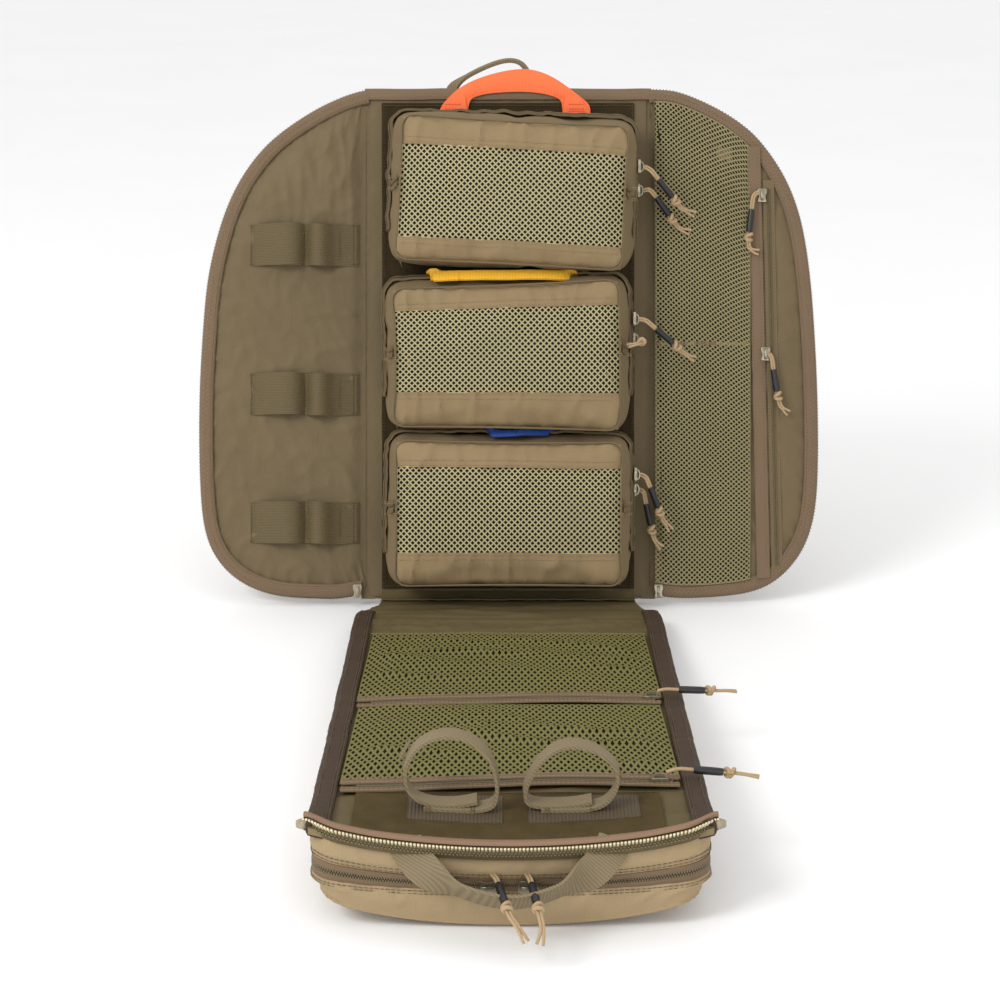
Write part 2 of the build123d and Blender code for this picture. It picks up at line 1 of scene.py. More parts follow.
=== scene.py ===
import bpy
import bmesh
import json
import math
import numpy as np
from mathutils import Matrix, Vector, noise
from mathutils.bvhtree import BVHTree
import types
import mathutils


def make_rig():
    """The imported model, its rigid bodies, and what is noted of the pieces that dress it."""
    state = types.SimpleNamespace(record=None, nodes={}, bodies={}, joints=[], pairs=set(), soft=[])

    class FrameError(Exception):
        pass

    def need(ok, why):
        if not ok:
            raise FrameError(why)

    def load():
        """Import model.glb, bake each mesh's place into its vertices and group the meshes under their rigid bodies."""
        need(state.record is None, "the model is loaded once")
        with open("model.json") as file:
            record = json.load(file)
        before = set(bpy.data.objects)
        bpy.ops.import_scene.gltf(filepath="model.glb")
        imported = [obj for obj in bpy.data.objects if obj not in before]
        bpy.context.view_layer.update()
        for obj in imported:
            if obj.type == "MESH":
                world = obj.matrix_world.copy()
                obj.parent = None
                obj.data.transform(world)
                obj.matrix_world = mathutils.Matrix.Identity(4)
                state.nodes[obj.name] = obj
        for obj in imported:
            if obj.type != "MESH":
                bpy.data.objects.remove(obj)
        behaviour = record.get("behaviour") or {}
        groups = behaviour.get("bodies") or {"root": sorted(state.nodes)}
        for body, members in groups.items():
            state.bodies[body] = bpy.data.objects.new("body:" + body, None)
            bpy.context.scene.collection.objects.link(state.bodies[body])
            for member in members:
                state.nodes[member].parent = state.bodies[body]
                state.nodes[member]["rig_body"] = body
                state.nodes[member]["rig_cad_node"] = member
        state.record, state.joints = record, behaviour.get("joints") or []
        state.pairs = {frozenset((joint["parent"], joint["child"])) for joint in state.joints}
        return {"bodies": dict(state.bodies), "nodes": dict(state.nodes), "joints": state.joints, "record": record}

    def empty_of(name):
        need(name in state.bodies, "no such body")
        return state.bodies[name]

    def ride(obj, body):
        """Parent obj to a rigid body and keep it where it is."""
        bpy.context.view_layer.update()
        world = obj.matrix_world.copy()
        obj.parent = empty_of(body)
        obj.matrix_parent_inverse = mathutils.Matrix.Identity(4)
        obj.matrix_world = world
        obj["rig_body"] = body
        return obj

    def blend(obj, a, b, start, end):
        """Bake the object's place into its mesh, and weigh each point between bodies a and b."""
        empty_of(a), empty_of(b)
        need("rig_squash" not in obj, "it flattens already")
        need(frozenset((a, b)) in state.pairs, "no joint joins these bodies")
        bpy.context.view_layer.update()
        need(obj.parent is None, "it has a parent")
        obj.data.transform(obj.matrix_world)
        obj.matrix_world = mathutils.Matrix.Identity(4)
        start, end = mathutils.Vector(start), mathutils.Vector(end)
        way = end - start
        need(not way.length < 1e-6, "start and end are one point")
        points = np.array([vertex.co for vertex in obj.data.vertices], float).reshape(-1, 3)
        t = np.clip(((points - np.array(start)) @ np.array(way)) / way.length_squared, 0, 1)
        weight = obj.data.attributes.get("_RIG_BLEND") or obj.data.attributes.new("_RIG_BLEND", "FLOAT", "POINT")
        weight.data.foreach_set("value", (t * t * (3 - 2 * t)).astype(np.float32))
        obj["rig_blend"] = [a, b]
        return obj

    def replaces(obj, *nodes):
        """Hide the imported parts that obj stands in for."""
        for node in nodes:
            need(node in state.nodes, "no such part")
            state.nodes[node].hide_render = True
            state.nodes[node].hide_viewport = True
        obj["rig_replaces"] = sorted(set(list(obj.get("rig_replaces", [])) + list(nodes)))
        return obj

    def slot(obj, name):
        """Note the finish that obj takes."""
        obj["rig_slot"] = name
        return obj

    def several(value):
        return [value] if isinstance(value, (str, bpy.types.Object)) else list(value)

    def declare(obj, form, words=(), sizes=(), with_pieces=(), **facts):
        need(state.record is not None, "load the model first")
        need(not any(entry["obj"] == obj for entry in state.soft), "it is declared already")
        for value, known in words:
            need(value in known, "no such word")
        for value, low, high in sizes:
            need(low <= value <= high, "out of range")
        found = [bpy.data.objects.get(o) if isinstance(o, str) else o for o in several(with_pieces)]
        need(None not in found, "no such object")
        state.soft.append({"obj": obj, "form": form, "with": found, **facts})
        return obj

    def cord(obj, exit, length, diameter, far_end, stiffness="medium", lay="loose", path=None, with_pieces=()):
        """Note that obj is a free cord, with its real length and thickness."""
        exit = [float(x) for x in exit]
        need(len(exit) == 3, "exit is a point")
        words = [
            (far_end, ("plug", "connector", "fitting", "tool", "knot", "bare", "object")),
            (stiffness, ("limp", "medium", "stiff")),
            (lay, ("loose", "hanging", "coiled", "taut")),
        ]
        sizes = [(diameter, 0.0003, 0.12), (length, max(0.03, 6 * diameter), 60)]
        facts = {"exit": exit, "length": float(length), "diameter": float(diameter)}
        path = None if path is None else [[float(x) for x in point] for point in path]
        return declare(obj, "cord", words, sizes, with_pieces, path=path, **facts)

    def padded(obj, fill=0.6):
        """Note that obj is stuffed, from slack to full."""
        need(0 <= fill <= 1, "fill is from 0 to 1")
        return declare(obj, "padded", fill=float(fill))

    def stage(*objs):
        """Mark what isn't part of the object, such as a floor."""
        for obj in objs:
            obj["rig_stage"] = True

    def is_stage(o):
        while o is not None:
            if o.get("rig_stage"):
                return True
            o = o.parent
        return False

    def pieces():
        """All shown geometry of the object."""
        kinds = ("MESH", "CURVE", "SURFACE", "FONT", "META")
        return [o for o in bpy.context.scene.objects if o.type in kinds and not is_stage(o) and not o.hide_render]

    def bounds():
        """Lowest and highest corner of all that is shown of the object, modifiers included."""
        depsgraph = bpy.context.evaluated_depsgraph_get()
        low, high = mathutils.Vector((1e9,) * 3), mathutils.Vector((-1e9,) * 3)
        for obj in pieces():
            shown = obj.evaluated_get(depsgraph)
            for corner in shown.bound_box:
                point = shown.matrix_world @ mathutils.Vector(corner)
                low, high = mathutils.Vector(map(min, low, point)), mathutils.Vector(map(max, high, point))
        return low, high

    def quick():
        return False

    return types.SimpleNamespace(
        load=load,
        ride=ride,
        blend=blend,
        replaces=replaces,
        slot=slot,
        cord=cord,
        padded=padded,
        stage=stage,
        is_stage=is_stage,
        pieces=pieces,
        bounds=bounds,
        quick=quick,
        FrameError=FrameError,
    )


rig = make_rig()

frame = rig.load()
cad_low, cad_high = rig.bounds()

# ---- sizes, in millimetres, as the pack is cut -------------------------------------
JOINTS = {j["name"]: j for j in frame["joints"]}
FOLD = Vector((0, JOINTS["base_fold"]["pos_m"][1], JOINTS["base_fold"]["pos_m"][2]))
LEAN = math.radians(17.0)
FLAP_RISE = math.radians(5.5)
MM = 0.001
HALF_SEAM = 134.4
POUCHES = {"top": (4.0, 388.0), "middle": (-0.5, 234.5), "bottom": (0.4, 87.0)}

# Panel frame: x right, y forward of the lining is negative, z up the panel.
PANEL = Matrix.Translation(FOLD) @ Matrix.Rotation(-LEAN, 4, "X") @ Matrix.Scale(MM, 4)
FLAP = Matrix.Translation(FOLD) @ Matrix.Rotation(-FLAP_RISE, 4, "X") @ Matrix.Scale(MM, 4)
# Sheets are drawn flat in XY with their height in Z, then stood on the panel.
STAND = Matrix(((1, 0, 0, 0), (0, 0, -1, 0), (0, 1, 0, 0), (0, 0, 0, 1)))
ON_PANEL = PANEL @ STAND
UP = Vector((0, 0, 1))


# ---- materials -----------------------------------------------------------------------
def new_material(name):
    """Empty node material: its tree, shader and a coordinate node."""
    material = bpy.data.materials.new(name)
    material.use_nodes = True
    tree = material.node_tree
    shader = tree.nodes["Principled BSDF"]
    coords = tree.nodes.new("ShaderNodeTexCoord")
    return material, tree, shader, coords


def turned(tree, coords, angle):
    """Object coordinates turned so that the weave runs along the panel."""
    mapping = tree.nodes.new("ShaderNodeMapping")
    mapping.inputs["Rotation"].default_value = (angle, 0, 0)
    tree.links.new(coords.outputs["Object"], mapping.inputs["Vector"])
    return mapping.outputs["Vector"]


def texture(tree, kind, vector, **values):
    """Texture node fed by a vector, with its inputs set by name."""
    node = tree.nodes.new(kind)
    tree.links.new(vector, node.inputs["Vector"])
    for key, value in values.items():
        node.inputs[key.replace("_", " ")].default_value = value
    return node


def mix_colour(tree, factor, dark, light):
    """Colour that runs from dark to light as the factor goes from 0 to 1."""
    node = tree.nodes.new("ShaderNodeMix")
    node.data_type = "RGBA"
    tree.links.new(factor, node.inputs[0])
    for socket, value in ((6, dark), (7, light)):
        if isinstance(value, (tuple, list)):
            node.inputs[socket].default_value = (*value, 1)
        else:
            tree.links.new(value, node.inputs[socket])
    return node.outputs[2]


def maths(tree, operation, a, b):
    """Math node on two sockets or numbers."""
    node = tree.nodes.new("ShaderNodeMath")
    node.operation = operation
    for i, value in enumerate((a, b)):
        if isinstance(value, (int, float)):
            node.inputs[i].default_value = value
        else:
            tree.links.new(value, node.inputs[i])
    return node.outputs[0]


def ramp(tree, value, low, high):
    """Stretch a value so that low becomes 0 and high becomes 1."""
    node = tree.nodes.new("ShaderNodeMapRange")
    tree.links.new(value, node.inputs["Value"])
    node.inputs["From Min"].default_value = low
    node.inputs["From Max"].default_value = high
    return node.outputs["Result"]


def soften(shader, sheen, colour):
    """Cloth's faint nap: sheen of its own colour and little gloss at a grazing view."""
    shader.inputs["Sheen Weight"].default_value = sheen * 0.4
    shader.inputs["Sheen Tint"].default_value = (*[min(1.0, c * 1.6) for c in colour[:3]], 1.0)
    shader.inputs["Specular IOR Level"].default_value = 0.12


def weave(tree, vector, pitch):
    """Threads over and under each other, as a height from 0 to 1."""
    waves = []
    for direction in ("X", "Z"):
        wave = texture(tree, "ShaderNodeTexWave", vector, Scale=314.16 / pitch, Distortion=0.35)
        wave.bands_direction = direction
        wave.inputs["Detail Scale"].default_value = 3.0
        waves.append(wave.outputs["Fac"])
    return maths(tree, "MULTIPLY", waves[0], waves[1])


def fabric(name, colour, pitch=0.9, rough=0.82, sheen=0.25, angle=0.0, grain=0.5, bump=0.35, shade=0.22):
    """Woven cloth: thread pattern, yarn grain, broad fading, and sheen."""
    material, tree, shader, coords = new_material(name)
    vector = turned(tree, coords, angle)
    threads = weave(tree, vector, pitch)
    yarn = texture(tree, "ShaderNodeTexNoise", vector, Scale=1400.0, Detail=3.0, Roughness=0.7)
    fade = texture(tree, "ShaderNodeTexNoise", vector, Scale=14.0, Detail=4.0, Roughness=0.6)
    dark = tuple(c * (1 - shade) for c in colour)
    light = tuple(min(1.0, c * (1 + shade)) for c in colour)
    grainy = maths(tree, "ADD", maths(tree, "MULTIPLY", threads, grain),
        maths(tree, "MULTIPLY", yarn.outputs["Fac"], 1 - grain * 0.5))
    tone = maths(tree, "ADD", ramp(tree, grainy, 0.2, 1.0),
        maths(tree, "MULTIPLY", ramp(tree, fade.outputs["Fac"], 0.3, 0.7), 0.35))
    tree.links.new(mix_colour(tree, maths(tree, "MULTIPLY", tone, 0.75), dark, light),
        shader.inputs["Base Color"])
    relief = tree.nodes.new("ShaderNodeBump")
    relief.inputs["Strength"].default_value = bump
    relief.inputs["Distance"].default_value = 0.0004
    tree.links.new(maths(tree, "ADD", threads, maths(tree, "MULTIPLY", yarn.outputs["Fac"], 0.6)),
        relief.inputs["Height"])
    tree.links.new(relief.outputs["Normal"], shader.inputs["Normal"])
    shader.inputs["Roughness"].default_value = rough
    soften(shader, sheen, colour)
    shader.inputs["Sheen Roughness"].default_value = 0.4
    shader.inputs["Specular IOR Level"].default_value = 0.25
    return material


def nylon(name, colour, angle=0.0, gloss=0.5, crinkle=0.6):
    """Thin coated lining: fine ripstop weave, soft gloss and small crinkles."""
    material, tree, shader, coords = new_material(name)
    vector = turned(tree, coords, angle)
    threads = weave(tree, vector, 0.45)
    fine = texture(tree, "ShaderNodeTexNoise", vector, Scale=2200.0, Detail=2.0)
    folds = texture(tree, "ShaderNodeTexNoise", vector, Scale=42.0, Detail=5.0, Roughness=0.55,
        Distortion=0.8)
    fade = texture(tree, "ShaderNodeTexNoise", vector, Scale=9.0, Detail=3.0)
    dark = tuple(c * 0.86 for c in colour)
    light = tuple(c * 1.14 for c in colour)
    tone = maths(tree, "ADD", maths(tree, "MULTIPLY", fine.outputs["Fac"], 0.5),
        maths(tree, "MULTIPLY", fade.outputs["Fac"], 0.5))
    tree.links.new(mix_colour(tree, ramp(tree, tone, 0.3, 0.7), dark, light), shader.inputs["Base Color"])
    small = tree.nodes.new("ShaderNodeBump")
    small.inputs["Strength"].default_value = 0.12
    small.inputs["Distance"].default_value = 0.0002
    tree.links.new(threads, small.inputs["Height"])
    relief = tree.nodes.new("ShaderNodeBump")
    relief.inputs["Strength"].default_value = crinkle
    relief.inputs["Distance"].default_value = 0.0022
    tree.links.new(folds.outputs["Fac"], relief.inputs["Height"])
    tree.links.new(small.outputs["Normal"], relief.inputs["Normal"])
    tree.links.new(relief.outputs["Normal"], shader.inputs["Normal"])
    shader.inputs["Roughness"].default_value = gloss
    shader.inputs["Specular IOR Level"].default_value = 0.42
    soften(shader, 0.12, colour)
    return material


def ribbed(name, colour, pitch=1.6, direction="Z", angle=0.0, rough=0.7, bump=0.6, sheen=0.2):
    """Webbing or elastic: close ribs across the tape with yarn grain."""
    material, tree, shader, coords = new_material(name)
    vector = turned(tree, coords, angle)
    ribs = texture(tree, "ShaderNodeTexWave", vector, Scale=314.16 / pitch, Distortion=0.5)
    ribs.bands_direction = direction
    yarn = texture(tree, "ShaderNodeTexNoise", vector, Scale=1100.0, Detail=3.0, Roughness=0.7)
    fade = texture(tree, "ShaderNodeTexNoise", vector, Scale=22.0, Detail=3.0)
    tone = maths(tree, "ADD", maths(tree, "MULTIPLY", ribs.outputs["Fac"], 0.4),
        maths(tree, "MULTIPLY", yarn.outputs["Fac"], 0.4))
    tone = maths(tree, "ADD", tone, maths(tree, "MULTIPLY", fade.outputs["Fac"], 0.25))
    dark = tuple(c * 0.76 for c in colour)
    light = tuple(min(1.0, c * 1.2) for c in colour)
    tree.links.new(mix_colour(tree, ramp(tree, tone, 0.2, 0.8), dark, light), shader.inputs["Base Color"])
    relief = tree.nodes.new("ShaderNodeBump")
    relief.inputs["Strength"].default_value = bump
    relief.inputs["Distance"].default_value = 0.0005
    tree.links.new(maths(tree, "ADD", ribs.outputs["Fac"], yarn.outputs["Fac"]), relief.inputs["Height"])
    tree.links.new(relief.outputs["Normal"], shader.inputs["Normal"])
    shader.inputs["Roughness"].default_value = rough
    soften(shader, sheen, colour)
    shader.inputs["Specular IOR Level"].default_value = 0.3
    return material


def pile(name, colour):
    """Loop side of hook and loop: a short tangled pile."""
    material, tree, shader, coords = new_material(name)
    vector = coords.outputs["Object"]
    tufts = texture(tree, "ShaderNodeTexNoise", vector, Scale=900.0, Detail=6.0, Roughness=0.8)
    patch = texture(tree, "ShaderNodeTexNoise", vector, Scale=60.0, Detail=4.0)
    tone = maths(tree, "ADD", maths(tree, "MULTIPLY", tufts.outputs["Fac"], 0.7),
        maths(tree, "MULTIPLY", patch.outputs["Fac"], 0.3))
    dark = tuple(c * 0.5 for c in colour)
    light = tuple(c * 1.4 for c in colour)
    tree.links.new(mix_colour(tree, ramp(tree, tone, 0.3, 0.7), dark, light), shader.inputs["Base Color"])
    relief = tree.nodes.new("ShaderNodeBump")
    relief.inputs["Strength"].default_value = 0.9
    relief.inputs["Distance"].default_value = 0.0009
    tree.links.new(tufts.outputs["Fac"], relief.inputs["Height"])
    tree.links.new(relief.outputs["Normal"], shader.inputs["Normal"])
    shader.inputs["Roughness"].default_value = 0.95
    soften(shader, 0.5, colour)
    return material


def hard(name, colour, rough=0.4, metal=0.0, wear=0.15):
    """Moulded plastic or plated metal with fine scuffs."""
    material, tree, shader, coords = new_material(name)
    scuff = texture(tree, "ShaderNodeTexNoise", coords.outputs["Object"], Scale=420.0, Detail=5.0,
        Roughness=0.7)
    dark = tuple(c * (1 - wear) for c in colour)
    light = tuple(min(1.0, c * (1 + wear)) for c in colour)
    tree.links.new(mix_colour(tree, ramp(tree, scuff.outputs["Fac"], 0.35, 0.65), dark, light),
        shader.inputs["Base Color"])
    tree.links.new(ramp_between(tree, scuff.outputs["Fac"], rough * 0.8, rough * 1.25),
        shader.inputs["Roughness"])
    relief = tree.nodes.new("ShaderNodeBump")
    relief.inputs["Strength"].default_value = 0.15
    relief.inputs["Distance"].default_value = 0.0001
    tree.links.new(scuff.outputs["Fac"], relief.inputs["Height"])
    tree.links.new(relief.outputs["Normal"], shader.inputs["Normal"])
    shader.inputs["Metallic"].default_value = metal
    return material


def ramp_between(tree, value, low, high):
    """Value from 0 to 1 spread over low to high."""
    node = tree.nodes.new("ShaderNodeMapRange")
    tree.links.new(value, node.inputs["Value"])
    node.inputs["To Min"].default_value = low
    node.inputs["To Max"].default_value = high
    return node.outputs["Result"]


def linear(r, g, b):
    """Screen colour, 0 to 255, as the shader's linear colour."""
    return tuple(((c / 255 + 0.055) / 1.055) ** 2.4 if c > 10 else c / 255 / 12.92 for c in (r, g, b))


PACK_CLOTH = fabric("pack_cloth", linear(140, 120, 88), pitch=0.95, rough=0.86, bump=0.5)
PACK_CLOTH_FLAP = fabric("pack_cloth_flap", linear(162, 141, 108), pitch=0.95, rough=0.86, bump=0.5,
    angle=FLAP_RISE)
# Darker copy of the pack cloth for the pouches' sides: painted shade of faces turned from the light.
PACK_CLOTH_SIDE_SHADE = fabric("pack_cloth_side", linear(116, 100, 73), pitch=0.95, rough=0.88, sheen=0.25,
    grain=0.45, shade=0.2, bump=0.5)
# Darker copy of the pack cloth for piping and seam ridges: painted shade of the seam folds.
PACK_CLOTH_SEAM_SHADE = fabric("pack_cloth_seam", linear(112, 96, 70), pitch=0.95, rough=0.86, bump=0.5)
LINING = nylon("lining_nylon", linear(104, 90, 66), angle=LEAN)
LINING_FLAP = nylon("flap_nylon", linear(94, 83, 57), angle=FLAP_RISE, gloss=0.48)
SHELL = fabric("outer_pack_cloth", linear(126, 110, 82), pitch=1.0, rough=0.88)
TAPE = ribbed("binding_tape", linear(112, 92, 71), pitch=1.1, direction="DIAGONAL", bump=0.4)
# Dark copy of the binding tape for the flap's side walls: painted shade of walls facing away from the light.
TAPE_SHADE = ribbed("side_binding", linear(62, 48, 36), pitch=1.1, direction="DIAGONAL", bump=0.4)
ZIP_TAPE = ribbed("zip_tape", linear(96, 80, 54), pitch=0.9, direction="X", bump=0.35)
WEBBING = ribbed("webbing", linear(118, 104, 78), pitch=2.2, direction="X", bump=0.7)
ELASTIC = ribbed("elastic", linear(97, 84, 58), pitch=1.5, direction="Z", angle=LEAN, bump=0.8)
YARN = {"pitch": 0.5, "rough": 0.6, "sheen": 0.3, "grain": 0.3, "shade": 0.15}
NET = fabric("net_yarn", linear(172, 162, 122), **YARN)
NET_FLAP = fabric("flap_net_yarn", linear(112, 106, 60), **YARN)
NET_WING = fabric("wing_net_yarn", linear(140, 130, 93), **YARN)
# Near-black sheet behind the nets: painted shade of the pockets' insides seen through the holes.
NET_HOLE_SHADE = fabric("net_backing", linear(30, 27, 16), pitch=0.8, rough=0.9, sheen=0.0, shade=0.25)
LOOP_PILE = pile("loop_pile", linear(56, 46, 29))
LOOP_PILE_PALE = pile("loop_patch", linear(78, 65, 40))
WEBBING_FLAP = ribbed("flap_webbing", linear(122, 108, 82), pitch=1.8, direction="DIAGONAL",
    angle=FLAP_RISE, bump=0.6)
ELASTIC_DARK = ribbed("ribbed_elastic", linear(80, 68, 50), pitch=2.6, direction="X", bump=0.9)
TAPE_ROSE = ribbed("rim_binding", linear(134, 106, 84), pitch=1.1, direction="DIAGONAL", bump=0.4)
TEETH = hard("zip_teeth", linear(206, 194, 160), rough=0.35, metal=0.2)
ORANGE = ribbed("orange_webbing", linear(255, 112, 62), pitch=1.4, direction="X", rough=0.6, bump=0.5)
ORANGE_THREAD = ribbed("orange_thread", linear(228, 70, 38), pitch=0.4, rough=0.6)
YELLOW = ribbed("yellow_webbing", linear(240, 178, 50), pitch=1.4, direction="X", rough=0.6)
BLUE = ribbed("blue_webbing", linear(40, 70, 140), pitch=1.4, direction="X", rough=0.6)
COIL = hard("zip_coil", linear(104, 92, 66), rough=0.45)
NICKEL = hard("plated_slider", linear(150, 142, 124), rough=0.32, metal=0.9)
PALE_METAL = hard("lacquered_slider", linear(150, 140, 118), rough=0.5, metal=0.2)
SLEEVE = hard("cord_sleeve", linear(26, 25, 26), rough=0.38)
CORD = ribbed("pull_cord", linear(178, 152, 116), pitch=1.0, direction="DIAGONAL", bump=0.8)
THREAD = ribbed("thread", linear(96, 80, 60), pitch=0.4, rough=0.6)
THREAD_PALE = ribbed("pale_thread", linear(152, 132, 100), pitch=0.4, rough=0.6)
PLASTIC = hard("buckle_plastic", linear(34, 33, 30), rough=0.45)
STRAP = fabric("strap_fabric", linear(112, 98, 74), pitch=1.0, rough=0.88, bump=0.5)
PAD_MESH = fabric("spacer_mesh", linear(88, 80, 60), pitch=2.4, rough=0.9, bump=0.9, shade=0.4)


# ---- modelling helpers ------------------------------------------------------------------
def deselect():
    """Leave edit mode and select nothing."""
    if bpy.context.object and bpy.context.object.mode != "OBJECT":
        bpy.ops.object.mode_set(mode="OBJECT")
    bpy.ops.object.select_all(action="DESELECT")


def only(obj):
    """Make this object the one that operators act on."""
    deselect()
    obj.select_set(True)
    bpy.context.view_layer.objects.active = obj
    return obj


def settle(obj):
    """Bake the object's own transform into its mesh."""
    only(obj)
    bpy.ops.object.transform_apply(location=True, rotation=True, scale=True)
    return obj


def modify(obj, kind, **values):
    """Add a modifier, set it and apply it."""
    only(obj)
    modifier = obj.modifiers.new(kind.lower(), kind)
    for key, value in values.items():
        setattr(modifier, key, value)
    bpy.ops.object.modifier_apply(modifier=modifier.name)
    return obj


def place(obj, matrix):
    """Move the mesh itself from its drawing frame to the row frame."""
    obj.data.transform(matrix)
    if matrix.determinant() < 0:
        obj.data.flip_normals()
    obj.data.update()
    return obj


def reshape(obj, move):
    """Move every vertex by a rule on its position."""
    data = obj.data
    co = np.empty(len(data.vertices) * 3, np.float64)
    data.vertices.foreach_get("co", co)
    co = co.reshape(-1, 3)
    moved = np.array([move(*p) for p in co], np.float64)
    data.vertices.foreach_set("co", moved.ravel())
    data.update()
    return obj


def dress(obj, name, body, material, slot=None, stands_for=(), smooth=60):
    """Name, finish and hand the piece to its body."""
    obj.name = name
    obj.data.name = name
    if material is not None:
        obj.data.materials.clear()
        obj.data.materials.append(material)
    only(obj)
    bpy.ops.object.shade_smooth_by_angle(angle=math.radians(smooth))
    if slot:
        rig.slot(obj, slot)
    if stands_for:
        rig.replaces(obj, *stands_for)
    if body:
        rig.ride(obj, body)
    return obj


def seat(obj, frame_of, *finish, **more):
    """Move a piece from its drawing frame to its place, then finish it."""
    place(obj, frame_of)
    return dress(obj, *finish, **more)


def thicken(obj, thick, side):
    """Give a sheet its thickness: -1 below it, 0 about it, 1 above it."""
    modify(obj, "SOLIDIFY", thickness=thick, offset=side)


def way_at(points, i):
    """Direction of a run of points at one of them."""
    return (points[min(i + 1, len(points) - 1)] - points[max(i - 1, 0)]).normalized()


def outward(way, p, middle):
    """Sideways from a run in the plane of the cloth, away from its middle."""
    out = way.cross(UP).normalized()
    return out if out.dot(p - middle) > 0 else -out


def grid(x0, x1, y0, y1, step):
    """Flat grid of about this step, drawn in XY."""
    deselect()
    nx = max(2, round((x1 - x0) / step))
    ny = max(2, round((y1 - y0) / step))
    bpy.ops.mesh.primitive_grid_add(x_subdivisions=nx, y_subdivisions=ny, size=1,
        location=((x0 + x1) / 2, (y0 + y1) / 2, 0))
    obj = bpy.context.object
    obj.scale = (x1 - x0, y1 - y0, 1)
    return settle(obj)


def block(x0, x1, y0, y1, z0, z1, bevel=0.0, segments=2):
    """Box with its edges rounded."""
    deselect()
    bpy.ops.mesh.primitive_cube_add(size=1, location=((x0 + x1) / 2, (y0 + y1) / 2, (z0 + z1) / 2))
    obj = bpy.context.object
    obj.scale = (x1 - x0, y1 - y0, z1 - z0)
    settle(obj)
    if bevel:
        modify(obj, "BEVEL", width=bevel, segments=segments, limit_method="ANGLE")
    return obj


def join(objects):
    """Several objects made one, the first one's name kept."""
    deselect()
    for obj in objects:
        obj.select_set(True)
    bpy.context.view_layer.objects.active = objects[0]
    if len(objects) > 1:
        bpy.ops.object.join()
    return bpy.context.view_layer.objects.active


def ribbon(points, width_dirs, width, thick, closed=False):
    """Flat tape along points: width along width_dirs, thickness across them."""
    count = len(points)
    mesh = bmesh.new()
    rows = []
    for i, point in enumerate(points):
        before = points[i - 1] if i or closed else points[i]
        after = points[(i + 1) % count] if i < count - 1 or closed else points[i]
        along = (after - before).normalized()
        wide = width_dirs[i].normalized()
        wide = (wide - along * wide.dot(along)).normalized()
        up = along.cross(wide)
        corners = ((-0.5, -0.5), (-0.5, 0.5), (-0.44, 0.62), (0.44, 0.62), (0.5, 0.5), (0.5, -0.5),
            (0.44, -0.62), (-0.44, -0.62))
        rows.append([mesh.verts.new(point + wide * (a * width) + up * (b * thick)) for a, b in corners])
    around = len(rows[0])
    last = count if closed else count - 1
    for i in range(last):
        a, b = rows[i], rows[(i + 1) % count]
        for k in range(around):
            mesh.faces.new((a[k], a[(k + 1) % around], b[(k + 1) % around], b[k]))
    if not closed:
        mesh.faces.new(list(reversed(rows[0])))
        mesh.faces.new(rows[-1])
    bmesh.ops.recalc_face_normals(mesh, faces=mesh.faces)
    data = bpy.data.meshes.new("tape")
    mesh.to_mesh(data)
    mesh.free()
    obj = bpy.data.objects.new("tape", data)
    bpy.context.scene.collection.objects.link(obj)
    return obj


def walk(points, pitch, start=0.0):
    """Positions and directions at even steps along a run of points."""
    found = []
    left = start
    for a, b in zip(points, points[1:]):
        span = (b - a).length
        if span < 1e-9:
            continue
        way = (b - a) / span
        while left <= span:
            found.append((a + way * left, way))
            left += pitch
        left -= span
    return found


def copies(source, spots, name="copies"):
    """One mesh made of the source mesh put at each matrix; the source goes."""
    data = source.data
    verts = np.empty(len(data.vertices) * 3)
    data.vertices.foreach_get("co", verts)
    verts = np.c_[verts.reshape(-1, 3), np.ones(len(data.vertices))]
    faces = [tuple(p.vertices) for p in data.polygons]
    every, polys = [], []
    for i, spot in enumerate(spots):
        every.append((verts @ np.array(spot).T)[:, :3])
        polys += [tuple(v + i * len(verts) for v in f) for f in faces]
    mesh = bpy.data.meshes.new(name)
    mesh.from_pydata(np.vstack(every).tolist(), [], polys)
    mesh.update()
    bpy.data.objects.remove(source)
    obj = bpy.data.objects.new(name, mesh)
    bpy.context.scene.collection.objects.link(obj)
    return obj


def basis(origin, x_way, z_way):
    """Matrix whose X runs along x_way and whose Z is near z_way."""
    x = x_way.normalized()
    y = z_way.cross(x).normalized()
    z = x.cross(y)
    return Matrix(((x.x, y.x, z.x, origin.x), (x.y, y.y, z.y, origin.y), (x.z, y.z, z.z, origin.z),
        (0, 0, 0, 1)))


def stitches(points, normal, pitch=3.2, length=2.2, width=0.55, start=1.0):
    """A row of sewn stitches lying on a surface with this normal."""
    deselect()
    bpy.ops.mesh.primitive_cylinder_add(vertices=6, radius=width / 2, depth=length,
        rotation=(0, math.pi / 2, 0))
    bead = settle(bpy.context.object)
    for vertex in bead.data.vertices:
        if vertex.co.z < 0:
            vertex.co.z *= 1.4
    if isinstance(normal, Vector):
        spots = [basis(p + normal * width * 0.25, w, normal) for p, w in walk(points, pitch, start)]
    else:
        spots = [basis(p + normal(p) * width * 0.25, w, normal(p)) for p, w in walk(points, pitch, start)]
    return copies(bead, spots, "stitches")


def fold_noise(x, y, seed, scale, stretch=(1.0, 1.0)):
    """Smooth noise from -1 to 1."""
    return noise.noise(Vector((x / scale / stretch[0], y / scale / stretch[1], seed * 7.31)))


def creases(x, y, seed, scale, stretch):
    """Sharp-topped soft wrinkles, from 0 to 1."""
    value = 1 - abs(fold_noise(x, y, seed, scale, stretch)) * 2.6
    return max(0.0, value) ** 2


def ease_in(low, high, value):
    """Smooth step from 0 at low to 1 at high."""
    t = min(1.0, max(0.0, (value - low) / (high - low)))
    return t * t * (3 - 2 * t)


